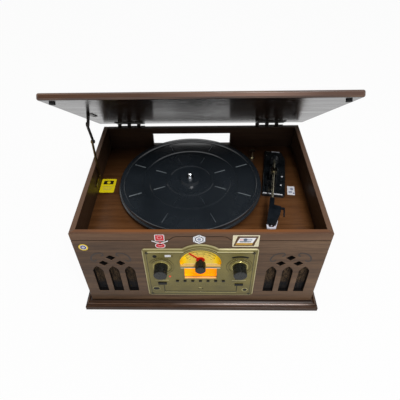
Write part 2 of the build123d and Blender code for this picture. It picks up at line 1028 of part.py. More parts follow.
def platter():
    rim_inner = platter_rim_radius - platter_lip_width
    bore = shaft_bearing_radius + running_fit
    step = platter_edge_step
    skirt = platter_rim_radius - platter_skirt
    sleeve_foot = bearing_boss_top + sleeve_gap
    band = platter_face - platter_band_drop
    ring = platter_face + platter_ring_rise
    flange_top = platter_flange_base + platter_flange_thickness
    belt_inner = belt_ring_radius - belt_ring_wall
    body = turned([
        (bore, sleeve_foot),
        (sleeve_radius, sleeve_foot),
        (sleeve_radius, platter_underside),
        (belt_inner, platter_underside),
        (belt_inner, belt_ring_base),
        (belt_ring_radius, belt_ring_base),
        (belt_ring_radius, platter_underside),
        (skirt, platter_underside),
        (skirt, platter_flange_base),
        (platter_flange_radius, platter_flange_base),
        (platter_flange_radius, flange_top),
        (platter_rim_radius, flange_top + flange_rise),
        (platter_rim_radius, platter_top - step),
        (platter_rim_radius - step, platter_top),
        (rim_inner + step, platter_top),
        (rim_inner, platter_top - step),
        (rim_inner - step, platter_face),
        (platter_band_outer, platter_face),
        (platter_band_outer - step, band),
        (platter_band_inner + step, band),
        (platter_band_inner, platter_face),
        (platter_ring_outer, platter_face),
        (platter_ring_outer - step, ring),
        (platter_ring_inner + step, ring),
        (platter_ring_inner, platter_face),
        (hub_radius, platter_face),
        (hub_radius - step, hub_top),
        (bore, hub_top),
    ])
    for index in range(rib_count):
        angle = (index + 0.5) * 360 / rib_count
        for start, end in ((inner_rib_start, inner_rib_end), (outer_rib_start, outer_rib_end)):
            rib = block(start, end, -rib_width / 2, rib_width / 2, platter_face - rib_root,
                        platter_face + rib_height)
            body += Rot(0, 0, angle) * rib
    return Pos(platter_x, platter_y, deck_z) * body


def spindle():
    clip_base = hub_top + sleeve_gap
    seat = clip_base + clip_thickness
    nose = spindle_top - spindle_nose
    shaft = rod_z(0, 0, -deck_thickness, seat, shaft_bearing_radius)
    shaft += rod_z(0, 0, seat, nose, spindle_radius)
    shaft += Pos(0, 0, nose) * Cone(
        spindle_radius, spindle_nose_radius, spindle_nose, align=(Align.CENTER, Align.CENTER, Align.MIN))
    shaft += rod_z(0, 0, -deck_thickness, bearing_boss_top, bearing_boss_radius)
    shaft += rod_z(0, 0, -deck_thickness - bearing_flange_thickness, -deck_thickness, bearing_flange_radius)
    clip = rod_z(0, 0, clip_base, seat, clip_radius)
    clip -= block(0, 2 * clip_radius, -clip_slot / 2, clip_slot / 2, clip_base, seat)
    shaft += Rot(0, 0, clip_turn) * clip
    return Pos(platter_x, platter_y, deck_z) * shaft


# Outline round the platter's belt ring and the pulley, grown by gap.
def belt_outline(gap):
    angle = math.radians(pulley_direction)
    big = belt_ring_radius + gap
    small = pulley_radius + gap
    spread = math.acos((big - small) / pulley_distance)
    centre = (pulley_distance * math.cos(angle), pulley_distance * math.sin(angle))

    def on_big(turn):
        return big * math.cos(angle + turn), big * math.sin(angle + turn)

    def on_small(turn):
        return centre[0] + small * math.cos(angle + turn), centre[1] + small * math.sin(angle + turn)

    return make_face([
        ThreePointArc(on_big(spread), on_big(math.pi), on_big(-spread)),
        Line(on_big(-spread), on_small(-spread)),
        ThreePointArc(on_small(-spread), on_small(0), on_small(spread)),
        Line(on_small(spread), on_big(spread)),
    ])


belt_base = (belt_ring_base + platter_underside - belt_width) / 2


def drive_belt():
    band = belt_outline(belt_play + belt_thickness) - belt_outline(belt_play)
    return Pos(platter_x, platter_y, deck_z + belt_base) * extrude(band, amount=belt_width)


def motor_pulley():
    x, y = motor_place()
    bottom = belt_base - (pulley_height - belt_width) / 2
    top = bottom + pulley_height
    flange = pulley_radius + pulley_flange
    pulley = rod_z(0, 0, bottom, top, pulley_radius)
    pulley += rod_z(0, 0, bottom - pulley_flange_thickness, bottom, flange)
    pulley += rod_z(0, 0, top, top + pulley_flange_thickness, flange)
    shaft_end = -deck_thickness - motor_height + 2 * motor_shaft_clearance
    pulley += rod_z(0, 0, shaft_end, bottom, motor_shaft_radius)
    return Pos(x, y, deck_z) * pulley


def drive_motor():
    x, y = motor_place()
    top = -deck_thickness
    nose = top + motor_nose_height
    motor = rod_z(0, 0, top - motor_plate, top, motor_radius + motor_plate_margin)
    motor += rod_z(0, 0, top - motor_height, top - motor_plate, motor_radius)
    motor += rod_z(0, 0, top, nose, motor_nose_radius)
    motor -= rod_z(0, 0, top - motor_height + motor_shaft_clearance, nose, motor_shaft_radius + running_fit)
    return Pos(x, y, deck_z) * motor


def adapter_post():
    cap_radius = spindle_radius + adapter_cap_overhang
    cap_z = deck_z + adapter_height - adapter_cap_height
    cone_z = cap_z - adapter_cone_height
    post = rod_z(adapter_x, adapter_y, deck_z, cone_z, spindle_radius)
    post += rod_z(adapter_x, adapter_y, deck_z, deck_z + adapter_foot_height, spindle_radius + adapter_foot)
    cap = Cone(spindle_radius, cap_radius, adapter_cone_height, align=(Align.CENTER, Align.CENTER, Align.MIN))
    post += Pos(adapter_x, adapter_y, cone_z) * cap
    post += rod_z(adapter_x, adapter_y, cap_z, cap_z + adapter_cap_height, cap_radius)
    return post


# Tonearm pieces are drawn with the swing axis at the origin, the arm along -Y.
arm_place = Pos(arm_x, arm_y, deck_z) * Rot(0, 0, -arm_angle)
base_place = Pos(arm_x, arm_y, deck_z) * Rot(0, 0, -base_angle)


def tonearm_base():
    plate = outline([
        (base_left, -base_front),
        (base_right - base_front_corner, -base_front),
        (base_right, -base_front + base_front_cut),
        (base_right, -base_back - base_tail_start),
        (base_right - base_tail_cut, -base_back),
        (base_left, -base_back),
    ])
    body = extrude(plate, amount=base_height)
    body = chamfer(body.faces().sort_by(Axis.Z)[-1].edges(), base_chamfer)
    body += block(base_left + base_pad_left, base_right - base_pad_right, -base_front + base_pad_front,
                  -base_back - base_pad_back, base_height - base_pad_sink, base_height + base_pad_height)
    body += rod_z(0, 0, base_height, swing_post_top, swing_post_radius)
    body += rod_z(0, 0, -deck_thickness, base_height, swing_post_radius - base_stem_gap)
    body += rod_z(0, 0, swing_post_top, swing_post_top + swing_pin_height, swing_pin_radius)
    rest_top = lift_axis_height - tube_radius - arm_gap
    y0 = -rest_forward - rest_half_length
    y1 = -rest_forward + rest_half_length
    body += block(rest_left, rest_right, y0, y1, base_height, rest_top)
    body += block(rest_right - rest_wall, rest_right, y0, y1, rest_top, rest_top + rest_horn)
    half = cue_half_width + cue_block_margin
    body += block(cue_x - half, cue_x + half, -cue_back - cue_block_half_length,
                  -cue_back + cue_block_half_length, base_height, cue_z - cue_block_drop)
    for x, back in ((speed_x, speed_back), (stop_x, stop_back)):
        body += rod_z(x, -back, base_height, base_height + lever_post_height, lever_post_radius)
    return base_place * body


def cue_lever():
    x0 = cue_x - cue_half_width
    x1 = cue_x + cue_half_width
    lever = block(x0, x1, -cue_front, -cue_back, cue_z, cue_z + cue_thickness)
    lever += rod_x(-cue_back, cue_z + cue_hub_rise, x0, x1, cue_hub_radius)
    bar_top = lift_axis_height - tube_radius - arm_gap
    bar_back = -cue_back - cue_bar_reach
    bar_front = bar_back - cue_bar_thickness
    lever += block(x0, x1, bar_front, bar_back, cue_z, bar_top)
    lever += block(x0, cue_bar_end, bar_front, bar_back, bar_top - cue_bar_height, bar_top)
    return base_place * lever


def flat_lever(x, back, front):
    z0 = base_height + lever_gap
    z1 = z0 + lever_thickness
    left = x - lever_half_width
    right = x + lever_half_width
    lever = block(left, right, -front, -back, z0, z1)
    lever += rod_z(x, -back, z0, z1, lever_eye_radius)
    lever += block(left, right, -front, -front + lever_grip_length, z0, z0 + lever_grip_height)
    lever -= rod_z(x, -back, z0, z1, lever_post_radius + running_fit)
    return base_place * lever


def tonearm_yoke():
    z0 = swing_post_top + swing_gap
    z1 = z0 + swing_pin_height
    radius = swing_post_radius - platter_edge_step
    yoke = rod_z(0, 0, z0, z1, radius)
    yoke -= rod_z(0, 0, z0, z1, swing_pin_radius + running_fit)
    yoke += rod_z(0, 0, z1, z1 + yoke_cap, radius)
    for side in (-1, 1):
        outer = side * yoke_half_width
        inner = side * (yoke_half_width - yoke_wall)
        yoke += block(min(outer, inner), max(outer, inner), -yoke_length / 2, yoke_length / 2, z1,
                      lift_axis_height + yoke_rise)
    pin_end = yoke_half_width + lift_pin_overhang
    yoke += rod_x(0, lift_axis_height, -pin_end, pin_end, lift_pin_radius)
    return arm_place * yoke


def tonearm_tube():
    axis_z = lift_axis_height
    tube = rod_y(0, axis_z, -tube_front, -tube_back, tube_radius)
    half = yoke_half_width - yoke_wall - arm_gap
    tube += block(-half, half, -tube_block_length / 2, tube_block_length / 2,
                  axis_z - tube_block_height / 2, axis_z + tube_block_height / 2)
    tube -= rod_x(0, axis_z, -yoke_half_width, yoke_half_width, lift_pin_radius + running_fit)
    return arm_place * tube


def counterweight():
    start = -tube_back - counterweight_length - counterweight_end
    end = start + counterweight_length
    weight = rod_y(0, lift_axis_height, start, end, counterweight_radius)
    weight -= rod_y(0, lift_axis_height, start, end, tube_radius + running_fit)
    return arm_place * weight


def headshell():
    back = -head_start
    front = back - head_length
    shoulder = back - neck_length
    plan = outline([
        (-neck_half, back),
        (-neck_half, shoulder),
        (-head_left, shoulder - neck_half),
        (-head_left_front, front),
        (head_right_front, front + finger_thickness),
        (head_right_chin, front + head_right_chin),
        (head_right, front + pocket_length),
        (head_right, shoulder - finger_width),
        (neck_half, shoulder),
        (neck_half, back),
    ])
    shell = Pos(0, 0, head_floor) * extrude(plan, amount=head_top - head_floor)
    slope_start = back - head_slope_start
    slope_end = front - guard_reach
    drop = side_view(outline([
        (slope_start, head_top),
        (slope_end, head_top),
        (slope_end, head_floor + head_nose_height),
    ]), -finger_reach, finger_reach)
    shell -= drop
    shell -= block(-pocket_left, pocket_right, front, front + pocket_length, head_floor,
                   head_floor + pocket_height)
    finger_front = back - finger_length
    finger = outline([
        (finger_root, shoulder - finger_width),
        (finger_reach, shoulder - finger_width),
        (finger_reach, finger_front),
        (finger_reach - finger_width, finger_front),
        (finger_reach - finger_width, shoulder - 2 * finger_width - finger_thickness),
        (finger_root, shoulder - 2 * finger_width - finger_thickness),
    ])
    shell += Pos(0, 0, head_top - finger_drop) * extrude(finger, amount=finger_thickness)
    shell -= rod_y(0, lift_axis_height, -tube_front, back, tube_radius)
    return arm_place * shell


def cartridge():
    front = -head_start - head_length
    body = block(-cartridge_left, cartridge_right, front, front + pocket_length - guard_rise,
                 head_floor - cartridge_drop, head_floor + pocket_height - cartridge_fit)
    floor = stylus_height + guard_rise
    top = head_floor - cartridge_fit
    nose = front - guard_reach
    middle = stylus_right
    left = outline([
        (-guard_left, front),
        (-guard_left + guard_wall, front),
        (-middle, nose + guard_wall),
        (middle, nose + guard_wall),
        (guard_wall, nose),
        (-guard_left + guard_wall / 2, nose),
    ])
    right = outline([
        (guard_wall, nose),
        (guard_right - guard_wall, nose + guard_wall / 2),
        (guard_right, front + head_right_chin),
        (guard_right - guard_wall, front + head_right_chin),
        (guard_right - 2 * guard_wall, nose + 1.5 * guard_wall),
        (middle, nose + guard_wall),
    ])
    guard = Pos(0, 0, floor) * extrude(left, amount=top - floor)
    guard += Pos(0, 0, floor) * extrude(right, amount=top - floor)
    bridge = block(-guard_left + middle, guard_right - middle, front + guard_wall, front + 3 * guard_wall,
                   floor + guard_rise, top)
    stylus = Pos(stylus_right, -stylus_forward, stylus_height) * Cone(
        stylus_tip_radius, stylus_root_radius, head_floor - stylus_height,
        align=(Align.CENTER, Align.CENTER, Align.MIN))
    return arm_place * (body + guard + bridge + stylus)


# Shape of the fascia seen from the front, drawn in by inset on every side.
def fascia_outline(inset):
    half = fascia_half_width - inset
    bottom = base_z + fascia_bottom + inset
    top = base_z + fascia_top - inset
    body = Pos(0, (bottom + top) / 2) * RectangleRounded(2 * half, top - bottom, fascia_corner)
    return body + Pos(dial_x, dial_z) * Circle(dial_arch_radius - inset)


# The glazed area: a disc cut off at the divider, and the plain window below it.
def dial_glass(margin):
    divider_top = base_z + dial_divider_rise + dial_divider_height / 2
    cut = Pos(dial_x, divider_top - margin) * Rectangle(4 * dial_window_radius, 4 * dial_window_radius,
                                                        align=(Align.CENTER, Align.MIN))
    return (Pos(dial_x, dial_z) * Circle(dial_window_radius + margin)) & cut


def lower_glass(margin):
    top = base_z + dial_divider_rise - dial_divider_height / 2 + margin
    bottom = base_z + lower_window_bottom - margin
    left = lower_window_left - margin
    right = lower_window_right + margin
    return Pos((left + right) / 2, (top + bottom) / 2) * Rectangle(right - left, top - bottom)


def button_x(index):
    return (index - (button_count - 1) / 2) * button_pitch


def fascia_plate():
    face_y = fascia_front
    step_y = face_y + fascia_face_layer
    ring_front = face_y - dial_ring_rise
    plate = front_view(fascia_outline(0), step_y, -half_depth)
    plate = chamfer(plate.faces().sort_by(Axis.Y)[0].edges(), fascia_chamfer)
    plate += front_view(fascia_outline(fascia_border), face_y, step_y)
    ring = Pos(dial_x, dial_z) * Circle(dial_window_radius + dial_ring_width)
    plate += front_view(ring, ring_front, face_y)
    for side in (-1, 1):
        centre = Pos(side * knob_x, base_z + knob_rise)
        plate += front_view(centre * Circle(ring_radius), face_y - ring_rise, face_y)
        channel = Circle(ring_radius - ring_channel_outer) - Circle(ring_radius - ring_channel_inner)
        plate -= front_view(centre * channel, face_y - ring_rise, face_y)
        plate -= front_view(centre * Circle(shaft_radius + shaft_hole_gap), ring_front, -half_depth)
    plate -= front_view(dial_glass(0), ring_front, -half_depth)
    plate -= front_view(lower_glass(0), ring_front, -half_depth)
    tray_z = (tray_bottom + tray_top) / 2
    gap = 2 * tray_slot_gap
    slot = panel_rect(0, tray_z, 2 * tray_half_width + gap, tray_top - tray_bottom + gap)
    plate -= front_view(slot, face_y, -half_depth)
    gap = 2 * button_clearance
    for index in range(button_count):
        slot = panel_rect(button_x(index), button_rise, button_width + gap, button_height + gap)
        plate -= front_view(slot, face_y, -half_depth)
    for x, rise, width, height in ((power_x, power_rise, power_width, power_height),
                                   (open_x, open_rise, open_width, open_height)):
        plate -= front_view(panel_rect(x, rise, width + gap, height + gap), face_y, -half_depth)
    oval = Pos(oval_x, base_z + oval_rise) * Ellipse(oval_width / 2, oval_height / 2)
    plate -= front_view(oval, face_y, -half_depth)
    for x, rise, radius in ((sensor_x, sensor_rise, sensor_radius), (led_x, led_rise, led_radius + led_fit),
                            (jack_x, jack_rise, jack_nut_radius)):
        plate -= front_view(Pos(x, base_z + rise) * Circle(radius), face_y, -half_depth)
    return plate


def dial_lens():
    front = -half_depth
    glass = dial_glass(dial_margin) + lower_glass(dial_margin)
    glass -= Pos(dial_x, dial_z) * Circle(shaft_radius + shaft_hole_gap)
    return front_view(glass, front, front + lens_thickness)


scale_y = pocket_floor - scale_thickness - scale_gap
needle_y = -half_depth + lens_thickness + needle_gap


def dial_scale():
    face = dial_glass(dial_margin) + lower_glass(dial_margin)
    face -= Pos(dial_x, dial_z) * Circle(shaft_radius + shaft_hole_gap)
    return front_view(face, scale_y, scale_y + scale_thickness)


def tuning_needle():
    pointer = outline([(-needle_root_half, 0), (needle_root_half, 0), (needle_tip_half, needle_length),
                       (-needle_tip_half, needle_length)])
    shape = Circle(needle_hub_radius) + pointer
    shape -= Circle(shaft_radius)
    placed = Pos(dial_x, dial_z) * Rot(0, 0, needle_rest_angle) * shape
    return front_view(placed, needle_y, needle_y + needle_thickness)


def fluted_knob(x, z, radius, length, flutes):
    front = knob_back - length
    knob = rod_y(x, z, front, knob_back, radius)
    knob = chamfer(knob.faces().sort_by(Axis.Y)[0].edges(), knob_chamfer)
    for index in range(flutes):
        angle = 2 * math.pi * index / flutes
        cut_x = x + (radius + flute_offset) * math.cos(angle)
        cut_z = z + (radius + flute_offset) * math.sin(angle)
        knob -= rod_y(cut_x, cut_z, front, knob_back - flute_stop, flute_radius)
    return knob


pot_y = -inner_y + pot_inset
board_y = pot_y + pot_depth
shaft_end = board_y - shaft_end_gap


def knob_with_shaft(x, z, radius, length, flutes):
    knob = fluted_knob(x, z, radius, length, flutes)
    return knob + rod_y(x, z, knob_back, shaft_end, shaft_radius)


def tuning_knob():
    return knob_with_shaft(dial_x, dial_z, tuning_knob_radius, tuning_knob_length, knob_flutes - fewer_flutes)


def volume_knob():
    return knob_with_shaft(-knob_x, base_z + knob_rise, knob_radius, knob_length, knob_flutes)


def function_knob():
    return knob_with_shaft(knob_x, base_z + knob_rise, knob_radius, knob_length, knob_flutes)


def control_pots():
    pots = []
    bore = shaft_radius + running_fit
    bore_end = board_y - pot_end_wall
    for x, z in ((-knob_x, base_z + knob_rise), (knob_x, base_z + knob_rise)):
        pot = rod_y(x, z, pot_y, board_y, pot_radius)
        pot += rod_y(x, z, -half_depth, pot_y, shaft_radius + pot_bush_wall)
        pot -= rod_y(x, z, -half_depth, bore_end, bore)
        pots.append(pot)
    tuner = block(dial_x - pot_radius, dial_x + pot_radius, pot_y, board_y, dial_z - pot_radius,
                  dial_z + pot_radius)
    tuner -= rod_y(dial_x, dial_z, pot_y, bore_end, bore)
    pots.append(tuner)
    return Compound([solid for pot in pots for solid in pot.solids()])


switch_face = board_y - switch_height


def circuit_board():
    half = fascia_half_width - opening_margin - board_side_gap
    bottom = base_z + drive_top + board_lower_gap
    board_back = board_y + board_thickness
    pcb = block(-half, half, board_y, board_back, bottom, deck_under - board_upper_gap)
    for index in range(button_count):
        x = button_x(index)
        z = base_z + button_rise
        pcb += block(x - switch_half, x + switch_half, switch_face, board_y, z - switch_low, z + switch_high)
    for x, rise in ((power_x, power_rise), (open_x, open_rise)):
        z = base_z + rise
        pcb += block(x - large_switch_half, x + large_switch_half, switch_face, board_y,
                     max(bottom, z - switch_low), z + large_switch_high)
    led_z = base_z + led_rise
    pcb += rod_y(led_x, led_z, fascia_front - led_stand, board_y, led_radius)
    for x in (-can_x, can_x):
        pcb += rod_y(x, led_z + can_rise, board_back, board_back + can_length, can_radius)
    return pcb


def cap_button(x, rise, width, height):
    z = base_z + rise
    front = fascia_front - button_stand
    back = fascia_front + button_depth
    cap = front_view(Pos(x, z) * RectangleRounded(width, height, button_corner), front, back)
    stem = Pos(x, z + button_stem_rise) * Rectangle(button_stem_width, button_stem_height)
    cap += front_view(stem, back, switch_face - switch_gap - button_travel)
    return cap


def fascia_inserts():
    inserts = []
    inserts.append(rod_y(sensor_x, base_z + sensor_rise, fascia_front + insert_setback, pocket_floor,
                         sensor_radius - insert_gap))
    place = Pos(oval_x, base_z + oval_rise)
    oval = place * Ellipse(oval_width / 2 - insert_gap, oval_height / 2 - insert_gap)
    window = front_view(oval, fascia_front + oval_setback, -half_depth)
    tab = place * Rectangle(oval_width - 2 * oval_tab, oval_height + 2 * oval_tab)
    window += front_view(tab, -half_depth, -half_depth + oval_tab_thickness)
    inserts.append(window)
    z = base_z + jack_rise
    bore_end = fascia_front + jack_bore_depth
    jack = rod_y(jack_x, z, fascia_front, -half_depth, jack_nut_radius - insert_gap)
    jack += block(jack_x - jack_body_half, jack_x + jack_body_half, -half_depth, bore_end + jack_end_wall,
                  z - jack_body_half, z + jack_body_half)
    jack -= rod_y(jack_x, z, fascia_front, bore_end, jack_bore_radius)
    inserts.append(jack)
    return Compound([solid for insert in inserts for solid in insert.solids()])


drive_front = -inner_y + drive_front_gap


def cd_drive():
    back = drive_front + drive_length
    z0 = base_z + drive_bottom
    z1 = base_z + drive_top
    drive = block(-drive_half_width, drive_half_width, drive_front, back, z0, z1)
    slot_half = tray_body_half + drive_side_play
    slot_bottom = base_z + tray_plate_rise - drive_slot_play
    slot_back = drive_front + tray_body_length
    drive -= block(-slot_half, slot_half, drive_front, slot_back, slot_bottom, z1 - drive_wall)
    drive -= block(-slot_half + drive_ledge, slot_half - drive_ledge, slot_back, back - drive_wall,
                   z0 + drive_wall, z1 - drive_wall)
    hub_y = slot_back - disc_radius - drive_leg_setback
    drive += rod_z(0, hub_y, slot_bottom - drive_hub_height, slot_bottom, drive_hub_radius)
    for x in (-drive_half_width + drive_leg_inset, drive_half_width - drive_leg_inset):
        for y in (drive_front + drive_leg_setback, back - drive_leg_setback):
            drive += rod_z(x, y, floor_z, z0, drive_leg_radius)
    return drive


def cd_tray():
    z0 = base_z + tray_plate_rise
    top = z0 + tray_plate_thickness
    front = fascia_front + tray_front_set
    plate_front = front + tray_flap
    tray_z = (tray_bottom + tray_top) / 2
    tray = front_view(panel_rect(0, tray_z, 2 * tray_half_width, tray_top - tray_bottom), front, plate_front)
    plate_back = drive_front + tray_body_length - tray_end_gap
    plate = block(-tray_body_half, tray_body_half, plate_front, plate_back, z0, top)
    centre = plate_back - disc_radius - disc_end_margin
    plate -= rod_z(0, centre, z0 + disc_recess_floor, top, disc_radius)
    plate -= block(-tray_cut_half, tray_cut_half, centre - tray_cut_front, plate_back - tray_cut_back, z0,
                   z0 + disc_recess_floor)
    return tray + plate


def power_transformer():
    x = transformer_x
    y = transformer_y
    half = transformer_width / 2
    depth = transformer_depth / 2
    top = floor_z + transformer_height
    core = block(x - half, x + half, y - depth + coil_overhang, y + depth - coil_overhang, floor_z, top)
    core += block(x - half + coil_side_gap, x + half - coil_side_gap, y - depth, y + depth,
                  floor_z + coil_end_gap, top - coil_end_gap)
    foot = half + transformer_foot
    core += block(x - foot, x + foot, y - transformer_foot_half, y + transformer_foot_half, floor_z,
                  floor_z + transformer_foot_thickness)
    return core


def rear_jack_panel():
    y0 = half_depth
    y1 = jack_panel_back
    seat = y1 + rca_nut
    middle = base_z + jack_panel_rise
    panel = front_view(panel_rect(jack_panel_x, jack_panel_rise, jack_panel_width, jack_panel_height), y0, y1)
    for column in (-1, 1):
        for row in (-1, 1):
            x = jack_panel_x + column * rca_pitch / 2
            z = middle + row * rca_pitch / 2
            panel += rod_y(x, z, y1, seat, rca_nut_radius)
            panel += rod_y(x, z, y1, seat + rca_length, rca_radius)
            panel -= rod_y(x, z, y1 + rca_core_floor, seat + rca_length, rca_core_radius)
    panel += block(jack_panel_x - jack_box_half_width, jack_panel_x + jack_box_half_width,
                   y0 - rear_box_depth, y0, middle - jack_box_half_height, middle + jack_box_half_height)
    return panel


def power_inlet():
    y0 = half_depth
    y1 = jack_panel_back
    z = base_z + inlet_rise
    inlet = front_view(panel_rect(inlet_x, inlet_rise, inlet_width, inlet_height), y0, y1)
    box = panel_rect(inlet_x, inlet_rise, inlet_width - 2 * inlet_box_gap_x, inlet_height - 2 * inlet_box_gap_z)
    inlet += front_view(box, y0 - rear_box_depth, y0)
    socket = Pos(inlet_x, z) * SlotCenterToCenter(socket_pitch, socket_height)
    inlet -= front_view(socket, y1 - socket_depth, y1)
    for side in (-1, 1):
        inlet += rod_y(inlet_x + side * socket_pitch / 2, z, y1 - socket_depth, y1 - socket_pin_setback,
                       socket_pin_radius)
    return inlet


def case_screws():
    screws = []
    side = fascia_half_width - fascia_screw_inset
    for x in (-side, side):
        for z in (base_z + fascia_bottom + fascia_screw_inset, base_z + fascia_top - fascia_screw_inset):
            screws.append(rod_y(x, z, fascia_front - fascia_screw_rise, fascia_front, fascia_screw_radius))
    back = half_depth + leaf_thickness
    for start in (left_hinge_x, right_hinge_x):
        for x in (start + hinge_screw_start, start + hinge_width - hinge_screw_end):
            z = hinge_z - case_leaf_height + hinge_screw_rise
            screws.append(rod_y(x, z, back, back + screw_head, screw_radius))
    for column in (-1, 1):
        x = jack_panel_x + column * (jack_panel_width / 2 - jack_screw_inset)
        z = base_z + jack_panel_rise
        screws.append(rod_y(x, z, jack_panel_back, jack_panel_back + screw_head, screw_radius))
    y, z = stay_screw_place()
    face = stay_wall_x + stay_plate
    screws.append(rod_x(y, z, face - screw_head, face, screw_radius))
    return Compound(screws)


def lid_screws():
    screws = []
    top = hinge_z + lid_under - leaf_thickness
    bottom = top - screw_head
    for start in (left_hinge_x, right_hinge_x):
        for x in (start + lid_screw_inset, start + hinge_width - lid_screw_inset):
            y = hinge_y - lid_leaf_length + lid_screw_back
            screws.append(raised(rod_z(x, y, bottom, top, screw_radius)))
    y = hinge_y - stay_tab_reach + tab_screw_back
    screws.append(raised(rod_z(tab_x + tab_screw_x, y, bottom, top, screw_radius)))
    return Compound(screws)


pieces = {
    "front_panel": front_panel,
    "side_panels": side_panels,
    "back_panel": back_panel,
    "bottom_board": bottom_board,
    "plinth_moulding": plinth_moulding,
    "rubber_feet": rubber_feet,
    "deck_cleats": deck_cleats,
    "deck_board": deck_board,
    "grille_cloths": grille_cloths,
    "speaker_frames": speaker_frames,
    "speaker_cones": speaker_cones,
    "lid_panel": lid_panel,
    "lid_bumpers": lid_bumpers,
    "case_hinges": case_hinges,
    "lid_hinge_leaves": lid_hinge_leaves,
    "stay_wall_bracket": stay_wall_bracket,
    "stay_lower_arm": stay_lower_arm,
    "stay_upper_arm": stay_upper_arm,
    "stay_lid_bracket": stay_lid_bracket,
    "case_screws": case_screws,
    "lid_screws": lid_screws,
    "platter": platter,
    "spindle": spindle,
    "drive_belt": drive_belt,
    "motor_pulley": motor_pulley,
    "drive_motor": drive_motor,
    "adapter_post": adapter_post,
    "tonearm_base": tonearm_base,
    "tonearm_yoke": tonearm_yoke,
    "tonearm_tube": tonearm_tube,
    "counterweight": counterweight,
    "headshell": headshell,
    "cartridge": cartridge,
    "cue_lever": cue_lever,
    "fascia_plate": fascia_plate,
    "dial_lens": dial_lens,
    "dial_scale": dial_scale,
    "tuning_needle": tuning_needle,
    "tuning_knob": tuning_knob,
    "volume_knob": volume_knob,
    "function_knob": function_knob,
    "control_pots": control_pots,
    "circuit_board": circuit_board,
    "fascia_inserts": fascia_inserts,
    "cd_drive": cd_drive,
    "cd_tray": cd_tray,
    "power_transformer": power_transformer,
    "rear_jack_panel": rear_jack_panel,
    "power_inlet": power_inlet,
}

for node, make in pieces.items():
    save(node, make())

save("speed_lever", flat_lever(speed_x, speed_back, speed_front))
save("stop_lever", flat_lever(stop_x, stop_back, stop_front))
save("power_button", cap_button(power_x, power_rise, power_width, power_height))
save("open_button", cap_button(open_x, open_rise, open_width, open_height))
for index in range(button_count):
    save(f"push_button_{index + 1}", cap_button(button_x(index), button_rise, button_width, button_height))
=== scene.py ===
from math import atan2, cos, pi, radians, sin
import bmesh
import bpy
from mathutils import Matrix, Vector


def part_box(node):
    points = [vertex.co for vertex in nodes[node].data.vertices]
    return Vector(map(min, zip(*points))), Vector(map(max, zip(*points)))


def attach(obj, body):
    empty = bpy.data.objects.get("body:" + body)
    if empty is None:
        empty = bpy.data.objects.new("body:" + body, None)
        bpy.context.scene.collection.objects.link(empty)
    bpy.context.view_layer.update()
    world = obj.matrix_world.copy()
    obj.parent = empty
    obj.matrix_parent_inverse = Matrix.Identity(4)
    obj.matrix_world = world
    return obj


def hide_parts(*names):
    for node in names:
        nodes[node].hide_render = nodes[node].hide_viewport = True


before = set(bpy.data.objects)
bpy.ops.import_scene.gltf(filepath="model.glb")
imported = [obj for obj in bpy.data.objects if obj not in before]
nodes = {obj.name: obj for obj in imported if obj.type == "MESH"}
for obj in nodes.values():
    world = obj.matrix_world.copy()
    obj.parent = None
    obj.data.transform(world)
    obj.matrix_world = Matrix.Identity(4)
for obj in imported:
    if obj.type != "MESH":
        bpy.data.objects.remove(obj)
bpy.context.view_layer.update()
mm = 0.001

# Places on the real thing that several pieces share, in metres.
frontFace = -0.1485  # front of the wooden panel
fasciaFace = -0.1525  # front of the olive plate
dialFaceY = -0.1430  # printed dial behind its window
dialCentre = (0.0005, 0.144)
deckTop = 0.1665
rimTop = 0.217
platterCentre = (-0.020, 0.0195, 0)
armAxis = (0.1439, 0.0295)
armAngle = radians(10)
baseAngle = radians(9)


def toLinear(value):
    value = value / 255
    return value / 12.92 if value <= 0.04045 else ((value + 0.055) / 1.055) ** 2.4


def tint(red, green, blue):
    return toLinear(red), toLinear(green), toLinear(blue), 1


desk = {}  # the node tree that is being worked on
finish = {}  # every material by its name


# Gives a node's inputs their values, or links them to sockets.
def feed(node, inputs):
    for key, value in inputs.items():
        if isinstance(value, bpy.types.NodeSocket):
            desk["tree"].links.new(value, node.inputs[key])
        else:
            node.inputs[key].default_value = value
    return node


def addNode(kind, inputs=None, **settings):
    made = desk["tree"].nodes.new(kind)
    for key, value in settings.items():
        setattr(made, key, value)
    return feed(made, inputs or {})


def maths(operation, first, second=None):
    inputs = {0: first} if second is None else {0: first, 1: second}
    return addNode("ShaderNodeMath", inputs, operation=operation).outputs[0]


def times(product, *factors):
    for factor in factors:
        product = maths("MULTIPLY", product, factor)
    return product


def colourRamp(source, stops):
    made = addNode("ShaderNodeValToRGB", {"Fac": source})
    elements = made.color_ramp.elements
    elements[0].position, elements[0].color = stops[0]
    elements[1].position, elements[1].color = stops[-1]
    for position, colour in stops[1:-1]:
        elements.new(position).color = colour
    return made.outputs["Color"]


def pairRamp(source, dark, light):
    return colourRamp(source, [(0.35, tint(*dark)), (0.65, tint(*light))])


def woodRamp(source, colours):
    return colourRamp(source, list(zip((0.36, 0.5, 0.64), [tint(*colour) for colour in colours])))


def ramp(source, low, high, outLow=0, outHigh=1):
    made = addNode("ShaderNodeMapRange", {
        "Value": source, "From Min": low, "From Max": high, "To Min": outLow, "To Max": outHigh})
    return made.outputs["Result"]


# Keeps a mask to the places where a value lies between two limits.
def between(source, low, high):
    soft = 0.1 * mm
    return times(ramp(source, low - soft, low), ramp(source, high + soft, high))


def placeOn(centre=(0, 0, 0), stretch=(1, 1, 1), turn=(0, 0, 0)):
    coordinates = addNode("ShaderNodeTexCoord")
    moved = addNode("ShaderNodeVectorMath", {0: coordinates.outputs["Object"], 1: centre},
        operation="SUBTRACT")
    mapping = addNode("ShaderNodeMapping", {
        "Vector": moved.outputs["Vector"], "Rotation": turn, "Scale": stretch})
    return mapping.outputs["Vector"]


def axes(place):
    split = addNode("ShaderNodeSeparateXYZ", {"Vector": place})
    return split.outputs["X"], split.outputs["Y"], split.outputs["Z"]


def pointOf():
    return axes(placeOn())


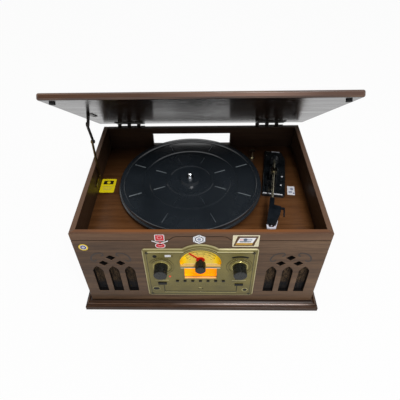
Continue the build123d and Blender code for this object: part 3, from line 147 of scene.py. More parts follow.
def lengthOf(place):
    return addNode("ShaderNodeVectorMath", {0: place}, operation="LENGTH").outputs["Value"]


def noise(place, scale, detail=3, roughness=0.5, distortion=0):
    made = addNode("ShaderNodeTexNoise", {
        "Vector": place, "Scale": scale, "Detail": detail, "Roughness": roughness,
        "Distortion": distortion})
    return made.outputs["Fac"]


def mix(factor, first, second, blend="MIX"):
    made = addNode("ShaderNodeMix", data_type="RGBA", blend_type=blend)
    return feed(made, {0: factor, 6: first, 7: second}).outputs[2]


def shade(colour, amount):
    return mix(1, colour, amount, "MULTIPLY")


# Paints over a colour where a mask says.
def stain(colour, mask, paint, strength=1):
    if strength != 1:
        mask = times(mask, strength)
    return mix(mask, colour, tint(*paint))


def bump(height, strength, distance=0.1 * mm, under=None):
    inputs = {"Height": height, "Strength": strength, "Distance": distance}
    if under:
        inputs["Normal"] = under
    return addNode("ShaderNodeBump", inputs).outputs["Normal"]


# How far the surface faces up, from 0 for a wall to 1 for a shelf.
def facingUp(low=0.4, high=0.9):
    normal = addNode("ShaderNodeNewGeometry").outputs["Normal"]
    return ramp(axes(normal)[2], low, high)


# Painted shade: darkens corners and the feet of walls, where the light reaches least.
def cornerShade(colour, reach, depth):
    openness = addNode("ShaderNodeAmbientOcclusion", {"Distance": reach}, samples=4).outputs["AO"]
    return shade(colour, ramp(openness, 0.2, 0.95, depth, 1))


def startMaterial(name, **sockets):
    material = bpy.data.materials.new(name)
    material.use_nodes = True
    desk["tree"] = material.node_tree
    finish[name] = material
    shader = material.node_tree.nodes["Principled BSDF"]
    connect(shader, **sockets)
    return shader


def connect(shader, **sockets):
    feed(shader, {key.replace("_", " "): value for key, value in sockets.items()})


# Printed wood foil over board: long grain, fine pores and a soft varnish sheen.
def woodFoil(name, look):
    shader = startMaterial(name, IOR=look.get("ior", 1.45),
        Specular_IOR_Level=look["sheen"])
    place = placeOn(stretch=look["stretch"])
    broad = noise(place, 16, 3, 0.55, 0.6)
    grain = noise(place, 150, 6, 0.62, 0.25)
    pores = noise(place, 900, 3, 0.6)
    colour = woodRamp(times(maths("ADD", broad, grain), 0.5), look["colours"])
    colour = shade(colour, ramp(pores, 0.34, 0.46, look.get("pores", 0.72), 1))
    if "shape" in look:
        colour = look["shape"](colour)
    if "cornerShade" in look:
        colour = cornerShade(colour, *look["cornerShade"])
    rough = ramp(grain, 0.3, 0.7, *look["roughness"])
    normal = bump(pores, look.get("poreBump", 0.25), 0.2 * mm)
    normal = bump(grain, 0.2, 0.4 * mm, normal)
    connect(shader, Base_Color=colour, Roughness=rough, Normal=normal)


# The upward-facing top edge of the rim.
def rimEdge(z):
    return times(facingUp(), ramp(z, rimTop - 5 * mm, rimTop - 0.5 * mm))


# The inner faces of the rim, just under its top.
def rimInside(inward, z):
    return times(inward, ramp(z, rimTop - 0.2 * mm, rimTop - 1 * mm))


# Painted highlight on the rim's top edge and painted light to the right, pale eased edges, dark cuts inside
# the grille, a darkened routed line and a redder rail above it.
frontAt = {"rail": (0.196, 0.203), "rimDepth": (-0.1460, -0.1440), "grilleTop": (0.171, 0.170),
    "easedDepth": (-0.1484, -0.1476), "cutDepth": (-0.1475, -0.1470),
    "routedLine": (0.198, 0.2112), "routedDepth": (-0.1482, -0.1474)}


def frontMarksAndLight(colour):
    x, y, z = pointOf()
    # Painted light: the panel is brighter towards its right.
    colour = shade(colour, ramp(x, 0.08, 0.2, 1, 1.2))
    colour = stain(colour, ramp(z, *frontAt["rail"]), (110, 78, 56), 0.4)
    # Painted highlight on the rim's top edge: palest in the middle, more orange on its inner side.
    middle = ramp(maths("ABSOLUTE", x), 0.19, 0.12)
    rimLit = mix(middle, tint(88, 60, 44), tint(122, 86, 64))
    inner = times(ramp(y, *frontAt["rimDepth"]), ramp(middle, 0, 1, 0.35, 1))
    rimLit = stain(rimLit, inner, (142, 86, 44))
    colour = mix(times(rimEdge(z), 0.75), colour, rimLit)
    low = ramp(z, *frontAt["grilleTop"])
    eased = times(low, between(y, *frontAt["easedDepth"]))
    colour = stain(colour, eased, (130, 106, 88), 0.85)
    cut = times(low, ramp(y, *frontAt["cutDepth"]))
    colour = stain(colour, cut, (17, 15, 15))
    routed = times(between(z, *frontAt["routedLine"]), between(y, *frontAt["routedDepth"]))
    return stain(colour, routed, (26, 17, 12))


# Painted highlight on the side panels' top edges, and painted shade on their inner faces.
def caseLightAndShade(colour):
    x, _, z = pointOf()
    colour = stain(colour, rimEdge(z), (112, 84, 66), 0.7)
    inward = ramp(maths("ABSOLUTE", x), 0.2040, 0.2035)
    return stain(colour, rimInside(inward, z), (46, 30, 20), 0.75)


# Painted shade on the back panel's inner face; its top edge is painted darker and greyer.
def backShadeAndEdge(colour):
    _, y, z = pointOf()
    colour = stain(colour, rimInside(ramp(y, 0.1605, 0.1600), z), (36, 21, 15), 0.7)
    return stain(colour, rimEdge(z), (66, 50, 42), 0.6)


# Painted shadow: the deck is darker towards the back wall, where the open lid shades it, and a little darker
# to the left; least at the right.
def deckShadow(colour):
    x, y, _ = pointOf()
    front = ramp(y, -0.03, 0.12, 1.1, 0.4)
    return shade(colour, times(front, ramp(x, -0.2, 0.1, 0.88, 1)))


# The lid is walnut outside, and only its underside is dark and polished.
def lidWear(colour):
    grain = noise(placeOn(stretch=(0.055, 1, 1)), 120, 6, 0.62, 0.4)
    wood = woodRamp(grain, ((46, 28, 18), (70, 46, 31), (94, 67, 47)))
    return mix(facingUp(-0.6, -0.4), colour, wood)


# Painted highlight: the lid's front edge is painted pale right of its middle, where it catches the light, and
# browner at its right end.
def bandHighlight(colour):
    x = pointOf()[0]
    pale = mix(ramp(x, -0.08, 0.07), tint(62, 38, 27), tint(122, 94, 82))
    pale = stain(pale, ramp(x, 0.10, 0.17), (76, 52, 42))
    return mix(0.75, colour, pale)


# Painted shade: darkens the narrow ledge on top of the plinth.
def plinthLedgeShade(colour):
    ledge = times(facingUp(), ramp(pointOf()[2], 0.0192, 0.0202))
    return stain(colour, ledge, (26, 14, 8), 0.85)


# Painted highlight: the plinth's bead is painted pale where the light falls, right of the middle.
def beadHighlight(colour):
    x = pointOf()[0]
    lit = times(ramp(x, -0.06, 0.05), ramp(x, 0.215, 0.19))
    return stain(colour, lit, (196, 172, 162), 0.7)


# Moulded plastic: fine pebble, and slightly uneven colour and gloss.
def mouldedPlastic(name, look):
    shader = startMaterial(name, IOR=1.5,
        Specular_IOR_Level=look.get("sheen", 0.5))
    place = placeOn()
    pebble = noise(place, look.get("pebble", 1400), 2)
    cloudy = noise(place, look.get("cloud", 60), 4, 0.6)
    colour = pairRamp(cloudy, look["dark"], look["light"])
    if "shape" in look:
        colour = look["shape"](colour)
    rough = ramp(cloudy, 0.35, 0.65, *look["roughness"])
    normal = bump(pebble, look.get("bump", 0.12))
    connect(shader, Base_Color=colour, Roughness=rough, Normal=normal)


# Metal with light scratches and tarnish.
def wornMetal(name, look):
    shader = startMaterial(name, Metallic=look.get("metallic", 1))
    place = placeOn()
    brushed = noise(place, 900, 4, 0.7)
    cloudy = noise(place, 55, 4, 0.6)
    colour = pairRamp(cloudy, look["dark"], look["light"])
    if "shape" in look:
        colour = look["shape"](colour)
    rough = ramp(brushed, 0.3, 0.7, *look["roughness"])
    connect(shader, Base_Color=colour, Roughness=rough, Normal=bump(brushed, 0.08))


# The cabinet's screws are steel, except the four painted ones on the fascia.
def fasciaScrewPaint(colour):
    return stain(colour, ramp(pointOf()[1], -0.120, -0.121), (70, 64, 34))


# The stylus guard is white round a black cartridge.
def guardParts(colour):
    x, y, _ = axes(placeOn(centre=(*armAxis, 0), turn=(0, 0, armAngle)))
    inside = times(ramp(x, -0.0032, -0.0026), ramp(x, 0.0094, 0.0088))
    return stain(colour, times(inside, ramp(y, -0.1412, -0.1404)), (10, 10, 14))


# One small lamp among the black inserts glows red.
def insertParts(colour):
    distance = lengthOf(placeOn(centre=(-0.0543, fasciaFace, 0.1053)))
    return stain(colour, ramp(distance, 0.0032, 0.0028), (190, 52, 34))


# Painted glints: the platter's ribs are painted paler towards its left and right, where they catch the light.
def ribGlints(colour):
    x = axes(placeOn(centre=platterCentre))[0]
    aside = ramp(maths("ABSOLUTE", x), 0.035, 0.065, 0, 0.75)
    return stain(colour, aside, (124, 132, 136))


# Olive-gold paint with metal flake, with painted light: pale where it faces up, and a painted shade line
# inside its border.
fasciaLook = {
    "dark": (104, 95, 47), "light": (124, 113, 59), "fleck": (160, 149, 94), "litTop": (218, 210, 166),
    "stepShade": (40, 35, 15), "paleLine": (186, 176, 128), "foot": (40, 32, 12), "edgeHighlight": (206, 196, 150),
    "halfWidth": 0.098, "halfHeight": 0.069, "middleZ": 0.1105, "archRadius": 0.047, "lineInset": 6.8 * mm,
    "lineGap": 1.2 * mm, "sillX": (0.0362, 0.0358),
    "dialLitLedges": ((0.1345, 0.1358, (232, 196, 120)), (0.0980, 0.1000, (250, 206, 130)))}


def olivePaint(name):
    look = fasciaLook
    shader = startMaterial(name, Metallic=0.15, IOR=1.45, Specular_IOR_Level=0.35)
    place = placeOn()
    fleck = noise(place, 2600, 2, 0.6)
    cloudy = noise(place, 24, 4, 0.6)
    colour = pairRamp(cloudy, look["dark"], look["light"])
    colour = stain(colour, ramp(fleck, 0.5, 0.72, 0, 0.4), look["fleck"])
    x, _, z = axes(place)
    side = maths("ABSOLUTE", x)
    upDown = maths("ABSOLUTE", maths("SUBTRACT", z, look["middleZ"]))
    boxEdge = maths("MAXIMUM", maths("SUBTRACT", side, look["halfWidth"]),
        maths("SUBTRACT", upDown, look["halfHeight"]))
    fromDial = lengthOf(placeOn(centre=(dialCentre[0], 0, dialCentre[1]), stretch=(1, 0, 1)))
    inset = maths("MINIMUM", boxEdge, maths("SUBTRACT", fromDial, look["archRadius"]))
    # Painted shade along the step inside the border, with a pale line outside it.
    line = maths("ABSOLUTE", maths("ADD", inset, look["lineInset"]))
    colour = stain(colour, ramp(line, 0.9 * mm, 0.4 * mm, 0, 0.9), look["stepShade"])
    line = maths("ABSOLUTE", maths("ADD", inset, look["lineInset"] - look["lineGap"]))
    colour = stain(colour, ramp(line, 0.6 * mm, 0.3 * mm, 0, 0.5), look["paleLine"])
    # Painted shade: darker low down.
    colour = stain(colour, ramp(z, 0.095, 0.072, 0, 0.3), look["foot"])
    # Painted highlight on the outer edge.
    colour = stain(colour, ramp(inset, -1.8 * mm, -1.1 * mm, 0, 0.9), look["edgeHighlight"])
    # Painted light: faces turned up are pale, less so on the top's left.
    up = facingUp(0.5, 0.9)
    colour = stain(colour, up, look["litTop"])
    leftTopUnlit = times(ramp(z, 0.1735, 0.1755), ramp(x, 0.045, 0.020, 0, 0.6))
    colour = stain(colour, leftTopUnlit, (112, 102, 54))
    # Painted light: the dial's glow on the ledges under its windows.
    dialLedge = times(up, ramp(side, *look["sillX"]))
    for low, high, glow in look["dialLitLedges"]:
        colour = stain(colour, times(dialLedge, between(z, low, high)), glow)
    rough = ramp(cloudy, 0.3, 0.7, 0.34, 0.48)
    connect(shader, Base_Color=colour, Roughness=rough, Normal=bump(fleck, 0.12))


# Black platter with pressed rings, turned about the spindle.
def platterBlack(name):
    shader = startMaterial(name, IOR=1.5, Specular_IOR_Level=0.7,
        Coat_Weight=0.4, Coat_Roughness=0.14)
    radius = lengthOf(placeOn(centre=platterCentre, stretch=(1, 1, 0)))
    rings = maths("SINE", times(radius, 5200))
    cloudy = noise(placeOn(), 12)
    colour = colourRamp(cloudy, [(0.3, tint(28, 33, 38)), (0.7, tint(38, 44, 50))])
    rough = ramp(cloudy, 0.3, 0.7, 0.2, 0.3)
    normal = bump(rings, 0.08)
    normal = bump(noise(placeOn(), 2000, 2), 0.08, 0.1 * mm, normal)
    connect(shader, Base_Color=colour, Roughness=rough, Normal=normal)


# Lit dial card: yellow in the middle, orange towards its sides, plain orange below the divider.
def dialGlow(name):
    shader = startMaterial(name, Roughness=0.6, IOR=1.4, Specular_IOR_Level=0.1,
        Emission_Strength=1)
    place = placeOn(centre=(dialCentre[0], 0, dialCentre[1]), stretch=(1, 0, 1))
    x, _, z = axes(place)
    side = maths("ABSOLUTE", x)
    upper = colourRamp(ramp(side, 0, 0.036), [
        (0, tint(218, 196, 96)), (0.55, tint(226, 196, 82)), (0.76, tint(252, 208, 26)),
        (1, tint(254, 182, 6))])
    pale = times(ramp(z, -0.0125, -0.0145), ramp(side, 0.031, 0.028))
    upper = stain(upper, pale, (232, 200, 150), 0.75)
    lower = mix(ramp(x, -0.026, -0.004), tint(252, 170, 12), tint(250, 146, 8))
    divider = (-0.0240, -0.0232)
    colour = mix(ramp(z, *divider, 1, 0), upper, lower)
    colour = shade(colour, ramp(noise(place, 500), 0.3, 0.7, 0.93, 1))
    lit = shade(colour, ramp(z, *divider, 0.9, 0.45))
    connect(shader, Base_Color=colour, Emission_Color=lit,
        Normal=bump(noise(place, 1500, 2), 0.05))


def clearWindow(name):
    shader = startMaterial(name, IOR=1.3, Alpha=0.05,
        Base_Color=tint(40, 36, 24), Specular_IOR_Level=0.2)
    dust = noise(placeOn(), 700, 4)
    connect(shader, Roughness=ramp(dust, 0.3, 0.7, 0.04, 0.12))


# Woven cloth with dark streaks; the right-hand cloth is painted brighter as if better lit, and a painted
# reflection makes it bluer low down.
def grilleWeave(name):
    shader = startMaterial(name, Roughness=0.85, IOR=1.4, Specular_IOR_Level=0.1)
    uv = addNode("ShaderNodeTexCoord").outputs["UV"]
    warp, weft = (addNode("ShaderNodeTexWave", {"Vector": uv, "Scale": 60, "Distortion": 0.6},
        bands_direction=way).outputs["Fac"] for way in "XY")
    weave = times(warp, weft)
    fibre = noise(uv, 46, 5, 0.75, 0.8)
    colour = colourRamp(weave, [(0.05, tint(34, 27, 21)), (0.7, tint(118, 96, 72))])
    streaks = addNode("ShaderNodeMapping", {"Vector": uv, "Scale": (26, 9, 1)}).outputs["Vector"]
    streaks = ramp(noise(streaks, 1, 4, 0.7), 0.46, 0.56, 0, 0.85)
    colour = stain(colour, streaks, (26, 22, 19))
    colour = stain(colour, ramp(fibre, 0.4, 0.64, 0, 0.6), (34, 26, 20))
    x, _, z = pointOf()
    colour = shade(colour, ramp(x, 0, 0.1, 1.05, 1.5))
    colour = stain(colour, ramp(z, 0.082, 0.066, 0, 0.75), (22, 28, 34))
    connect(shader, Base_Color=colour, Normal=bump(weave, 0.6, 0.4 * mm))


# Wood foils: the cabinet's look, and how each board's differs from it.
cabinetFoil = {"colours": ((64, 45, 31), (86, 64, 46), (108, 84, 63)), "stretch": (0.055, 1, 1),
    "roughness": (0.36, 0.52), "sheen": 0.25}
foils = {
    "frontWood": {"shape": frontMarksAndLight},
    "caseWood": {"stretch": (1, 0.055, 1), "shape": caseLightAndShade, "cornerShade": (0.03, 0.45)},
    "backWood": {"shape": backShadeAndEdge, "cornerShade": (0.03, 0.45)},
    "lidWood": {"colours": ((14, 8, 6), (23, 14, 10), (34, 21, 16)), "roughness": (0.17, 0.28),
    "poreBump": 0.3, "ior": 1.5, "sheen": 0.62, "shape": lidWear},
    "bandWood": {"sheen": 0.14, "roughness": (0.4, 0.55), "shape": bandHighlight},
    "deckWood": {"colours": ((88, 54, 27), (108, 69, 38), (126, 86, 51)), "roughness": (0.28, 0.4),
    "sheen": 0.32, "shape": deckShadow, "cornerShade": (0.05, 0.3)},
    "plinthWood": {"colours": ((28, 13, 5), (47, 26, 11), (70, 44, 24)), "roughness": (0.2, 0.32),
    "sheen": 0.16, "shape": plinthLedgeShade, "cornerShade": (0.012, 0.35)},
    "plinthGloss": {"colours": ((52, 32, 18), (70, 46, 28), (92, 64, 44)), "roughness": (0.1, 0.2),
    "sheen": 0.4, "shape": beadHighlight, "cornerShade": (0.012, 0.35)},
    "boardWood": {"colours": ((120, 92, 66), (150, 120, 88), (172, 142, 108)), "stretch": (0.2, 0.2, 1),
    "roughness": (0.75, 0.9), "sheen": 0.4, "pores": 0.85}}

# Plastics and metals: dark and light colour, lowest and highest roughness, and what else they need.
plastics = {
    "rubber": ((16, 16, 17), (30, 30, 31), (0.6, 0.8), {"bump": 0.3}),
    "blackSatin": ((16, 18, 20), (26, 29, 32), (0.28, 0.4), {}),
    "blackGloss": ((15, 18, 21), (25, 29, 32), (0.14, 0.22), {"bump": 0.05}),
    "insertBlack": ((6, 6, 6), (14, 14, 13), (0.5, 0.65), {"sheen": 0.15, "shape": insertParts}),
    "keyBlack": ((8, 8, 7), (18, 18, 16), (0.42, 0.55), {"sheen": 0.2}),
    "headBlack": ((9, 14, 19), (16, 22, 29), (0.3, 0.42), {"sheen": 0.28}),
    "knobBlack": ((10, 11, 10), (34, 36, 33), (0.24, 0.4),
    {"cloud": 420, "sheen": 0.32, "pebble": 460, "bump": 0.6}),
    "guardWhite": ((214, 212, 226), (236, 236, 244), (0.2, 0.3), {"shape": guardParts}),
    "whiteLabelAndGlint": ((222, 222, 230), (242, 242, 246), (0.12, 0.2), {}),
    "greyPlastic": ((44, 44, 45), (62, 62, 62), (0.5, 0.65), {"bump": 0.25}),
    "paperCone": ((26, 26, 27), (42, 41, 40), (0.8, 0.95), {"bump": 0.5}),
    "needleRed": ((232, 26, 14), (248, 44, 26), (0.35, 0.45), {"sheen": 0.15}),
    "boardGreen": ((22, 74, 40), (34, 98, 54), (0.3, 0.45), {}),
    "ribGrey": ((34, 40, 45), (54, 61, 67), (0.16, 0.26), {"sheen": 0.8, "shape": ribGlints}),
    "ledRed": ((226, 60, 40), (246, 90, 62), (0.2, 0.3), {})}
metals = {
    "blackenedIron": ((20, 17, 14), (38, 32, 25), (0.3, 0.45), {"metallic": 0.6}),
    "agedBrass": ((62, 50, 30), (116, 96, 58), (0.26, 0.46), {}),
    "paleBrass": ((150, 138, 78), (206, 194, 124), (0.16, 0.28), {"metallic": 0.8}),
    "darkBrass": ((70, 62, 30), (96, 86, 44), (0.3, 0.44), {"metallic": 0.5}),
    "tubeNickel": ((140, 134, 114), (184, 178, 156), (0.16, 0.28), {}),
    "brightChrome": ((196, 198, 202), (226, 228, 232), (0.06, 0.14), {}),
    "dullSteel": ((120, 120, 116), (168, 168, 162), (0.28, 0.46), {}),
    "leverSteel": ((30, 33, 36), (58, 62, 66), (0.2, 0.34), {"metallic": 0.7}),
    "screwMetal": ((110, 110, 104), (160, 160, 152), (0.3, 0.46),
    {"metallic": 0.6, "shape": fasciaScrewPaint})}

# Printed vinyl and paper for the stickers and labels, with a little ink mottle.
vinylLook = {"roughness": (0.3, 0.42), "bump": 0.06, "cloud": 420, "sheen": 0.3}
vinyls = {
    "vinylYellow": (238, 204, 48), "vinylLemon": (250, 228, 24), "vinylWhite": (242, 241, 243),
    "vinylBlue": (66, 66, 132), "vinylRed": (206, 46, 54), "vinylPink": (236, 176, 176),
    "vinylSlate": (92, 104, 122), "vinylCream": (232, 222, 190), "vinylBrown": (84, 52, 16),
    "vinylTan": (176, 166, 112), "vinylCharcoal": (46, 46, 50), "vinylGold": (196, 152, 62),
    "vinylSmoke": (150, 156, 176), "inkDark": (40, 34, 22), "inkBrown": (118, 74, 18),
    "inkPink": (206, 160, 130), "woodShade": (50, 41, 36)}

for name, look in foils.items():
    woodFoil(name, dict(cabinetFoil, **look))
for make, table in ((mouldedPlastic, plastics), (wornMetal, metals)):
    for name, (dark, light, roughness, more) in table.items():
        make(name, dict(more, dark=dark, light=light, roughness=roughness))
for name, colour in vinyls.items():
    mouldedPlastic(name, dict(vinylLook, dark=[part * 0.93 for part in colour], light=colour))
for name, make in (("olive", olivePaint), ("platterMat", platterBlack), ("dialCard", dialGlow),
        ("windowClear", clearWindow), ("clothWeave", grilleWeave)):
    make(name)
connect(finish["ledRed"].node_tree.nodes["Principled BSDF"], Emission_Color=tint(240, 70, 44),
    Emission_Strength=0.12)

finishOf = {
    "frontWood": "front_panel", "caseWood": "side_panels", "backWood": "back_panel",
    "boardWood": "bottom_board deck_cleats", "deckWood": "deck_board", "plinthWood": "plinth_moulding",
    "lidWood": "lid_panel", "rubber": "rubber_feet lid_bumpers drive_belt grille_cloths",
    "blackSatin": "speaker_frames tonearm_yoke counterweight power_inlet", "paperCone": "speaker_cones",
    "blackenedIron": "case_hinges lid_hinge_leaves stay_upper_arm stay_lid_bracket",
    "agedBrass": "stay_wall_bracket stay_lower_arm", "screwMetal": "case_screws lid_screws",
    "platterMat": "platter", "brightChrome": "spindle", "tubeNickel": "adapter_post tonearm_tube",
    "paleBrass": "motor_pulley", "dullSteel": "drive_motor control_pots power_transformer",
    "blackGloss": "tonearm_base", "headBlack": "headshell", "guardWhite": "cartridge",
    "leverSteel": "cue_lever speed_lever stop_lever", "olive": "fascia_plate cd_tray",
    "windowClear": "dial_lens", "dialCard": "dial_scale", "needleRed": "tuning_needle",
    "knobBlack": "tuning_knob volume_knob function_knob", "boardGreen": "circuit_board",
    "insertBlack": "fascia_inserts", "greyPlastic": "cd_drive rear_jack_panel",
    "keyBlack": "power_button open_button " + " ".join(f"push_button_{key}" for key in range(1, 8))}
for material, names in finishOf.items():
    for name in names.split():
        for entry in nodes[name].material_slots:
            entry.material = finish[material]
print("finishes made:", len(finish))

# Rounds the sharp edges of the boards without touching their meshes.
boardEdge = {"boards": ("front_panel", "side_panels", "back_panel"), "width": 0.8 * mm, "segments": 2}
for name in boardEdge["boards"]:
    weld = nodes[name].modifiers.new("weld", "WELD")
    weld.merge_threshold = 0.02 * mm
    bevel = nodes[name].modifiers.new("bevel", "BEVEL")
    bevel.width = boardEdge["width"]
    bevel.segments = boardEdge["segments"]
    bevel.limit_method = "ANGLE"
    bevel.angle_limit = radians(40)
    bevel.harden_normals = True
print("board edges softened")


def clearSelection():
    for thing in list(bpy.context.selected_objects):
        thing.select_set(False)


def editAll():
    bpy.ops.object.mode_set(mode="EDIT")
    bpy.ops.mesh.select_all(action="SELECT")


def endEdit():
    bpy.ops.object.mode_set(mode="OBJECT")


def applyPlace():
    bpy.ops.object.transform_apply(location=True, rotation=True, scale=True)


# Closes a piece's doubles, turns its faces outwards and gives it its finish.
def closeUp(piece, material, smooth=False):
    editAll()
    bpy.ops.mesh.remove_doubles(threshold=0.002 * mm)
    bpy.ops.mesh.normals_make_consistent(inside=False)
    endEdit()
    piece.data.materials.clear()
    piece.data.materials.append(finish[material])
    if smooth:
        bpy.ops.object.shade_smooth_by_angle(angle=radians(40))
    return piece


def extrude(move):
    bpy.ops.mesh.extrude_region_move(TRANSFORM_OT_translate={"value": move})


# Raises a flat shape off the board it lies on, and eases its edges if asked.
def raiseShape(piece, depth, front, ease):
    extrude((0, -depth, 0) if front else (0, 0, depth))
    if ease:
        bpy.ops.mesh.bevel(offset=ease, segments=2, affect="EDGES")
    endEdit()
    return piece


def addPlane(place, size, rotation):
    clearSelection()
    bpy.ops.mesh.primitive_plane_add(size=1, location=place, rotation=rotation)
    piece = bpy.context.object
    piece.scale = (*size, 1)
    applyPlace()
    return piece


# A thin plate on the front or on the deck, with rounded corners if asked.
def addPlate(place, size, depth, material, face="front", corner=0, turn=0, lean=0, ease=0):
    front = face == "front"
    piece = addPlane(place, size, (radians(90), turn, 0) if front else (0, 0, turn))
    if lean:
        bpy.ops.object.mode_set(mode="EDIT")
        mesh = bmesh.from_edit_mesh(piece.data)
        bpy.ops.mesh.select_all(action="DESELECT")
        upward = 2 if front else 1
        for vertex in mesh.verts:
            vertex.select_set(vertex.co[upward] > place[upward])
        mesh.select_flush_mode()
        bmesh.update_edit_mesh(piece.data)
        bpy.ops.transform.translate(value=(lean, 0, 0))
        endEdit()
    editAll()
    if corner:
        bpy.ops.mesh.bevel(offset=corner, segments=4, affect="VERTICES")
        bpy.ops.mesh.select_all(action="SELECT")
    return closeUp(raiseShape(piece, depth, front, ease), material)


# A thin disc or a plate with a few equal sides.
def addDisc(place, radius, depth, material, face="front", sides=40, ease=0):
    clearSelection()
    front = face == "front"
    bpy.ops.mesh.primitive_circle_add(vertices=sides, radius=radius, fill_type="NGON", location=place,
        rotation=(radians(90) if front else 0, 0, 0))
    piece = bpy.context.object
    applyPlace()
    editAll()
    return closeUp(raiseShape(piece, depth, front, ease), material, smooth=bool(ease))


# A flat or round bar spun about a centre on the front, as far as sweep says.
def addArc(centre, radius, width, depth, material, start=0, sweep=360, steps=48, rounded=False):
    clearSelection()
    if rounded:
        bpy.ops.mesh.primitive_circle_add(vertices=10, radius=width / 2, fill_type="NGON", location=centre)
    else:
        bpy.ops.mesh.primitive_plane_add(size=1, location=centre)
    piece = bpy.context.object
    piece.scale = (1, 1, 1) if rounded else (width, depth, 1)
    bpy.ops.object.transform_apply(location=False, rotation=True, scale=True)
    editAll()
    bpy.ops.transform.translate(value=(radius, 0, 0))
    bpy.ops.mesh.delete(type="ONLY_FACE")
    bpy.ops.mesh.select_all(action="SELECT")
    bpy.ops.mesh.spin(steps=steps, angle=radians(sweep), center=centre, axis=(0, 1, 0))
    if sweep < 360:
        bpy.ops.mesh.select_all(action="SELECT")
        bpy.ops.mesh.fill_holes(sides=0)
    endEdit()
    piece.rotation_euler = (0, -radians(start), 0)
    applyPlace()
    return closeUp(piece, material, smooth=rounded)


# Joins a piece's parts, names it, puts its place in its mesh and lets it ride on a body.
def settle(parts, name, body="cabinet"):
    clearSelection()
    for part in parts:
        part.select_set(True)
    piece = parts[0]
    bpy.context.view_layer.objects.active = piece
    if len(parts) > 1:
        bpy.ops.object.join()
    applyPlace()
    piece.name = name
    piece.data.name = name
    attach(piece, body)


# A veneer strip over the lid's front edge, with a painted highlight right of the middle.
lidBand = {"thick": 0.1 * mm, "inset": 0.3 * mm, "over": 0.4 * mm}
lidMesh = nodes["lid_panel"].data
fronts = [face for face in lidMesh.polygons if face.normal.y < -0.45 and face.normal.z > -0.2]
outward = max(fronts, key=lambda face: face.area).normal.copy()
along = Vector((0, outward.z, -outward.y))
corners = [lidMesh.vertices[index].co for face in fronts if face.normal.dot(outward) > 0.999
    for index in face.vertices]
run = [corner.dot(along) for corner in corners]
span = [corner.x for corner in corners]
level = max(corner.dot(outward) for corner in corners)
middle = along * (min(run) + max(run)) / 2 + outward * level + Vector(((min(span) + max(span)) / 2, 0, 0))
size = max(span) - min(span) - 2 * lidBand["inset"], max(run) - min(run) + lidBand["over"]
band = addPlane(middle, size, (atan2(-outward.y, outward.z), 0, 0))
editAll()
extrude(outward * lidBand["thick"])
endEdit()
settle([closeUp(band, "bandWood")], "lidEdgeBand", "lid")
print("lid edge banded")

# Grille cloths, one sheet stretched behind each set of openings.
grille = {"innerX": 0.1106, "clear": 0.1 * mm, "cuts": 24}
low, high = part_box("grille_cloths")
for word, left, right in (("Left", low[0], -grille["innerX"]), ("Right", grille["innerX"], high[0])):
    width, height = right - left, high[2] - low[2]
    middle = (left + right) / 2, low[1] + grille["clear"], (low[2] + high[2]) / 2
    cloth = addPlane(middle, (width, height), (radians(90), 0, 0))
    editAll()
    bpy.ops.mesh.subdivide(number_cuts=grille["cuts"])
    endEdit()
    cloth.data.materials.append(finish["clothWeave"])
    settle([cloth], "grilleCloth" + word)
    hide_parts("grille_cloths")
print("grille cloths stretched")

# Stickers are laid from rows: a part's layer, its place and size in millimetres, its finish, and what
# else it needs. Two sizes make a plate, one a disc, or a ring where it has a width.
sticker = {"thick": 0.15 * mm, "layer": 0.05 * mm, "ringSteps": 24}


def laySticker(name, centre, rows, face="front"):
    parts = []
    for level, right, up, size, material, more in rows:
        depth = sticker["layer"] if level else sticker["thick"]
        raised = sticker["thick"] + (level - 1) * sticker["layer"] if level else 0
        x, along = centre[0] + right * mm, centre[1] + up * mm
        place = (x, frontFace - raised, along) if face == "front" else (x, along, deckTop + raised)
        if isinstance(size, tuple):
            parts.append(addPlate(place, (size[0] * mm, size[1] * mm), depth, material, face, **more))
        elif "width" in more:
            parts.append(addArc(place, size * mm, more["width"], depth, material, steps=sticker["ringSteps"]))
        else:
            parts.append(addDisc(place, size * mm, depth, material, face, **more))
    settle(parts, name)


# Round sticker at the front's upper left: rings of yellow, white and blue.
roundSticker = {"centre": (-0.195, 0.182), "radius": 8, "rings": (
    (1, "vinylYellow"), (0.72, "vinylWhite"), (0.63, "vinylBlue"), (0.3, "vinylWhite"),
    (0.16, "vinylSmoke"))}
laySticker("roundSticker", roundSticker["centre"], [
    (level, 0, 0, roundSticker["radius"] * share, material, {})
    for level, (share, material) in enumerate(roundSticker["rings"])])

# Red sticker above the fascia: a tag over a fan, white round both, with two white bars between.
redSticker = {"centre": (-0.0655, 0.1938), "rows": [
    (0, 0, 12.7, (16, 16), "vinylWhite", {"corner": 2 * mm}),
    (0, 0, -7, (17, 12), "vinylWhite", {"corner": 5.4 * mm}),
    (1, 0, 12.7, (13.8, 13.8), "vinylRed", {"corner": 1.4 * mm}),
    (1, 0, -7, (14.8, 9.8), "vinylRed", {"corner": 4.4 * mm}),
    (1, 0, -1, (7, 7), "vinylRed", {"turn": radians(45)}),
    (2, 0, 13.7, 3.6, "vinylPink", {"width": 1 * mm}),
    (2, 0, -7, (7, 1.6), "vinylPink", {}),
    (1.6, -7, 2, (14.5, 2), "vinylWhite", {"turn": radians(28), "corner": 0.5 * mm}),
    (2.4, 7, 2, (14.5, 2), "vinylWhite", {"turn": radians(-28), "corner": 0.5 * mm})]}
laySticker("redSticker", **redSticker)

# Six-sided pale sticker over the dial's arch.
hexSticker = {"centre": (-0.0012, 0.2028), "radius": 12.2, "dots": 6, "dotsOut": 0.72, "dotShare": 0.09}
radius = hexSticker["radius"]
rows = [(0, 0, 0, radius, "vinylCharcoal", {"sides": 6}),
    (1, 0, 0, radius * 0.92, "vinylWhite", {"sides": 6}),
    (2, 0, 0, radius * 0.52, "vinylSlate", {"width": radius * 0.14 * mm}),
    (2, 0, 0, radius * 0.26, "vinylSmoke", {"sides": 24})]
for step in range(hexSticker["dots"]):
    angle, out = radians(60 * step + 30), radius * hexSticker["dotsOut"]
    rows.append((2, out * cos(angle), out * sin(angle), radius * hexSticker["dotShare"],
        "vinylSmoke", {"sides": 12}))
laySticker("hexSticker", hexSticker["centre"], rows)

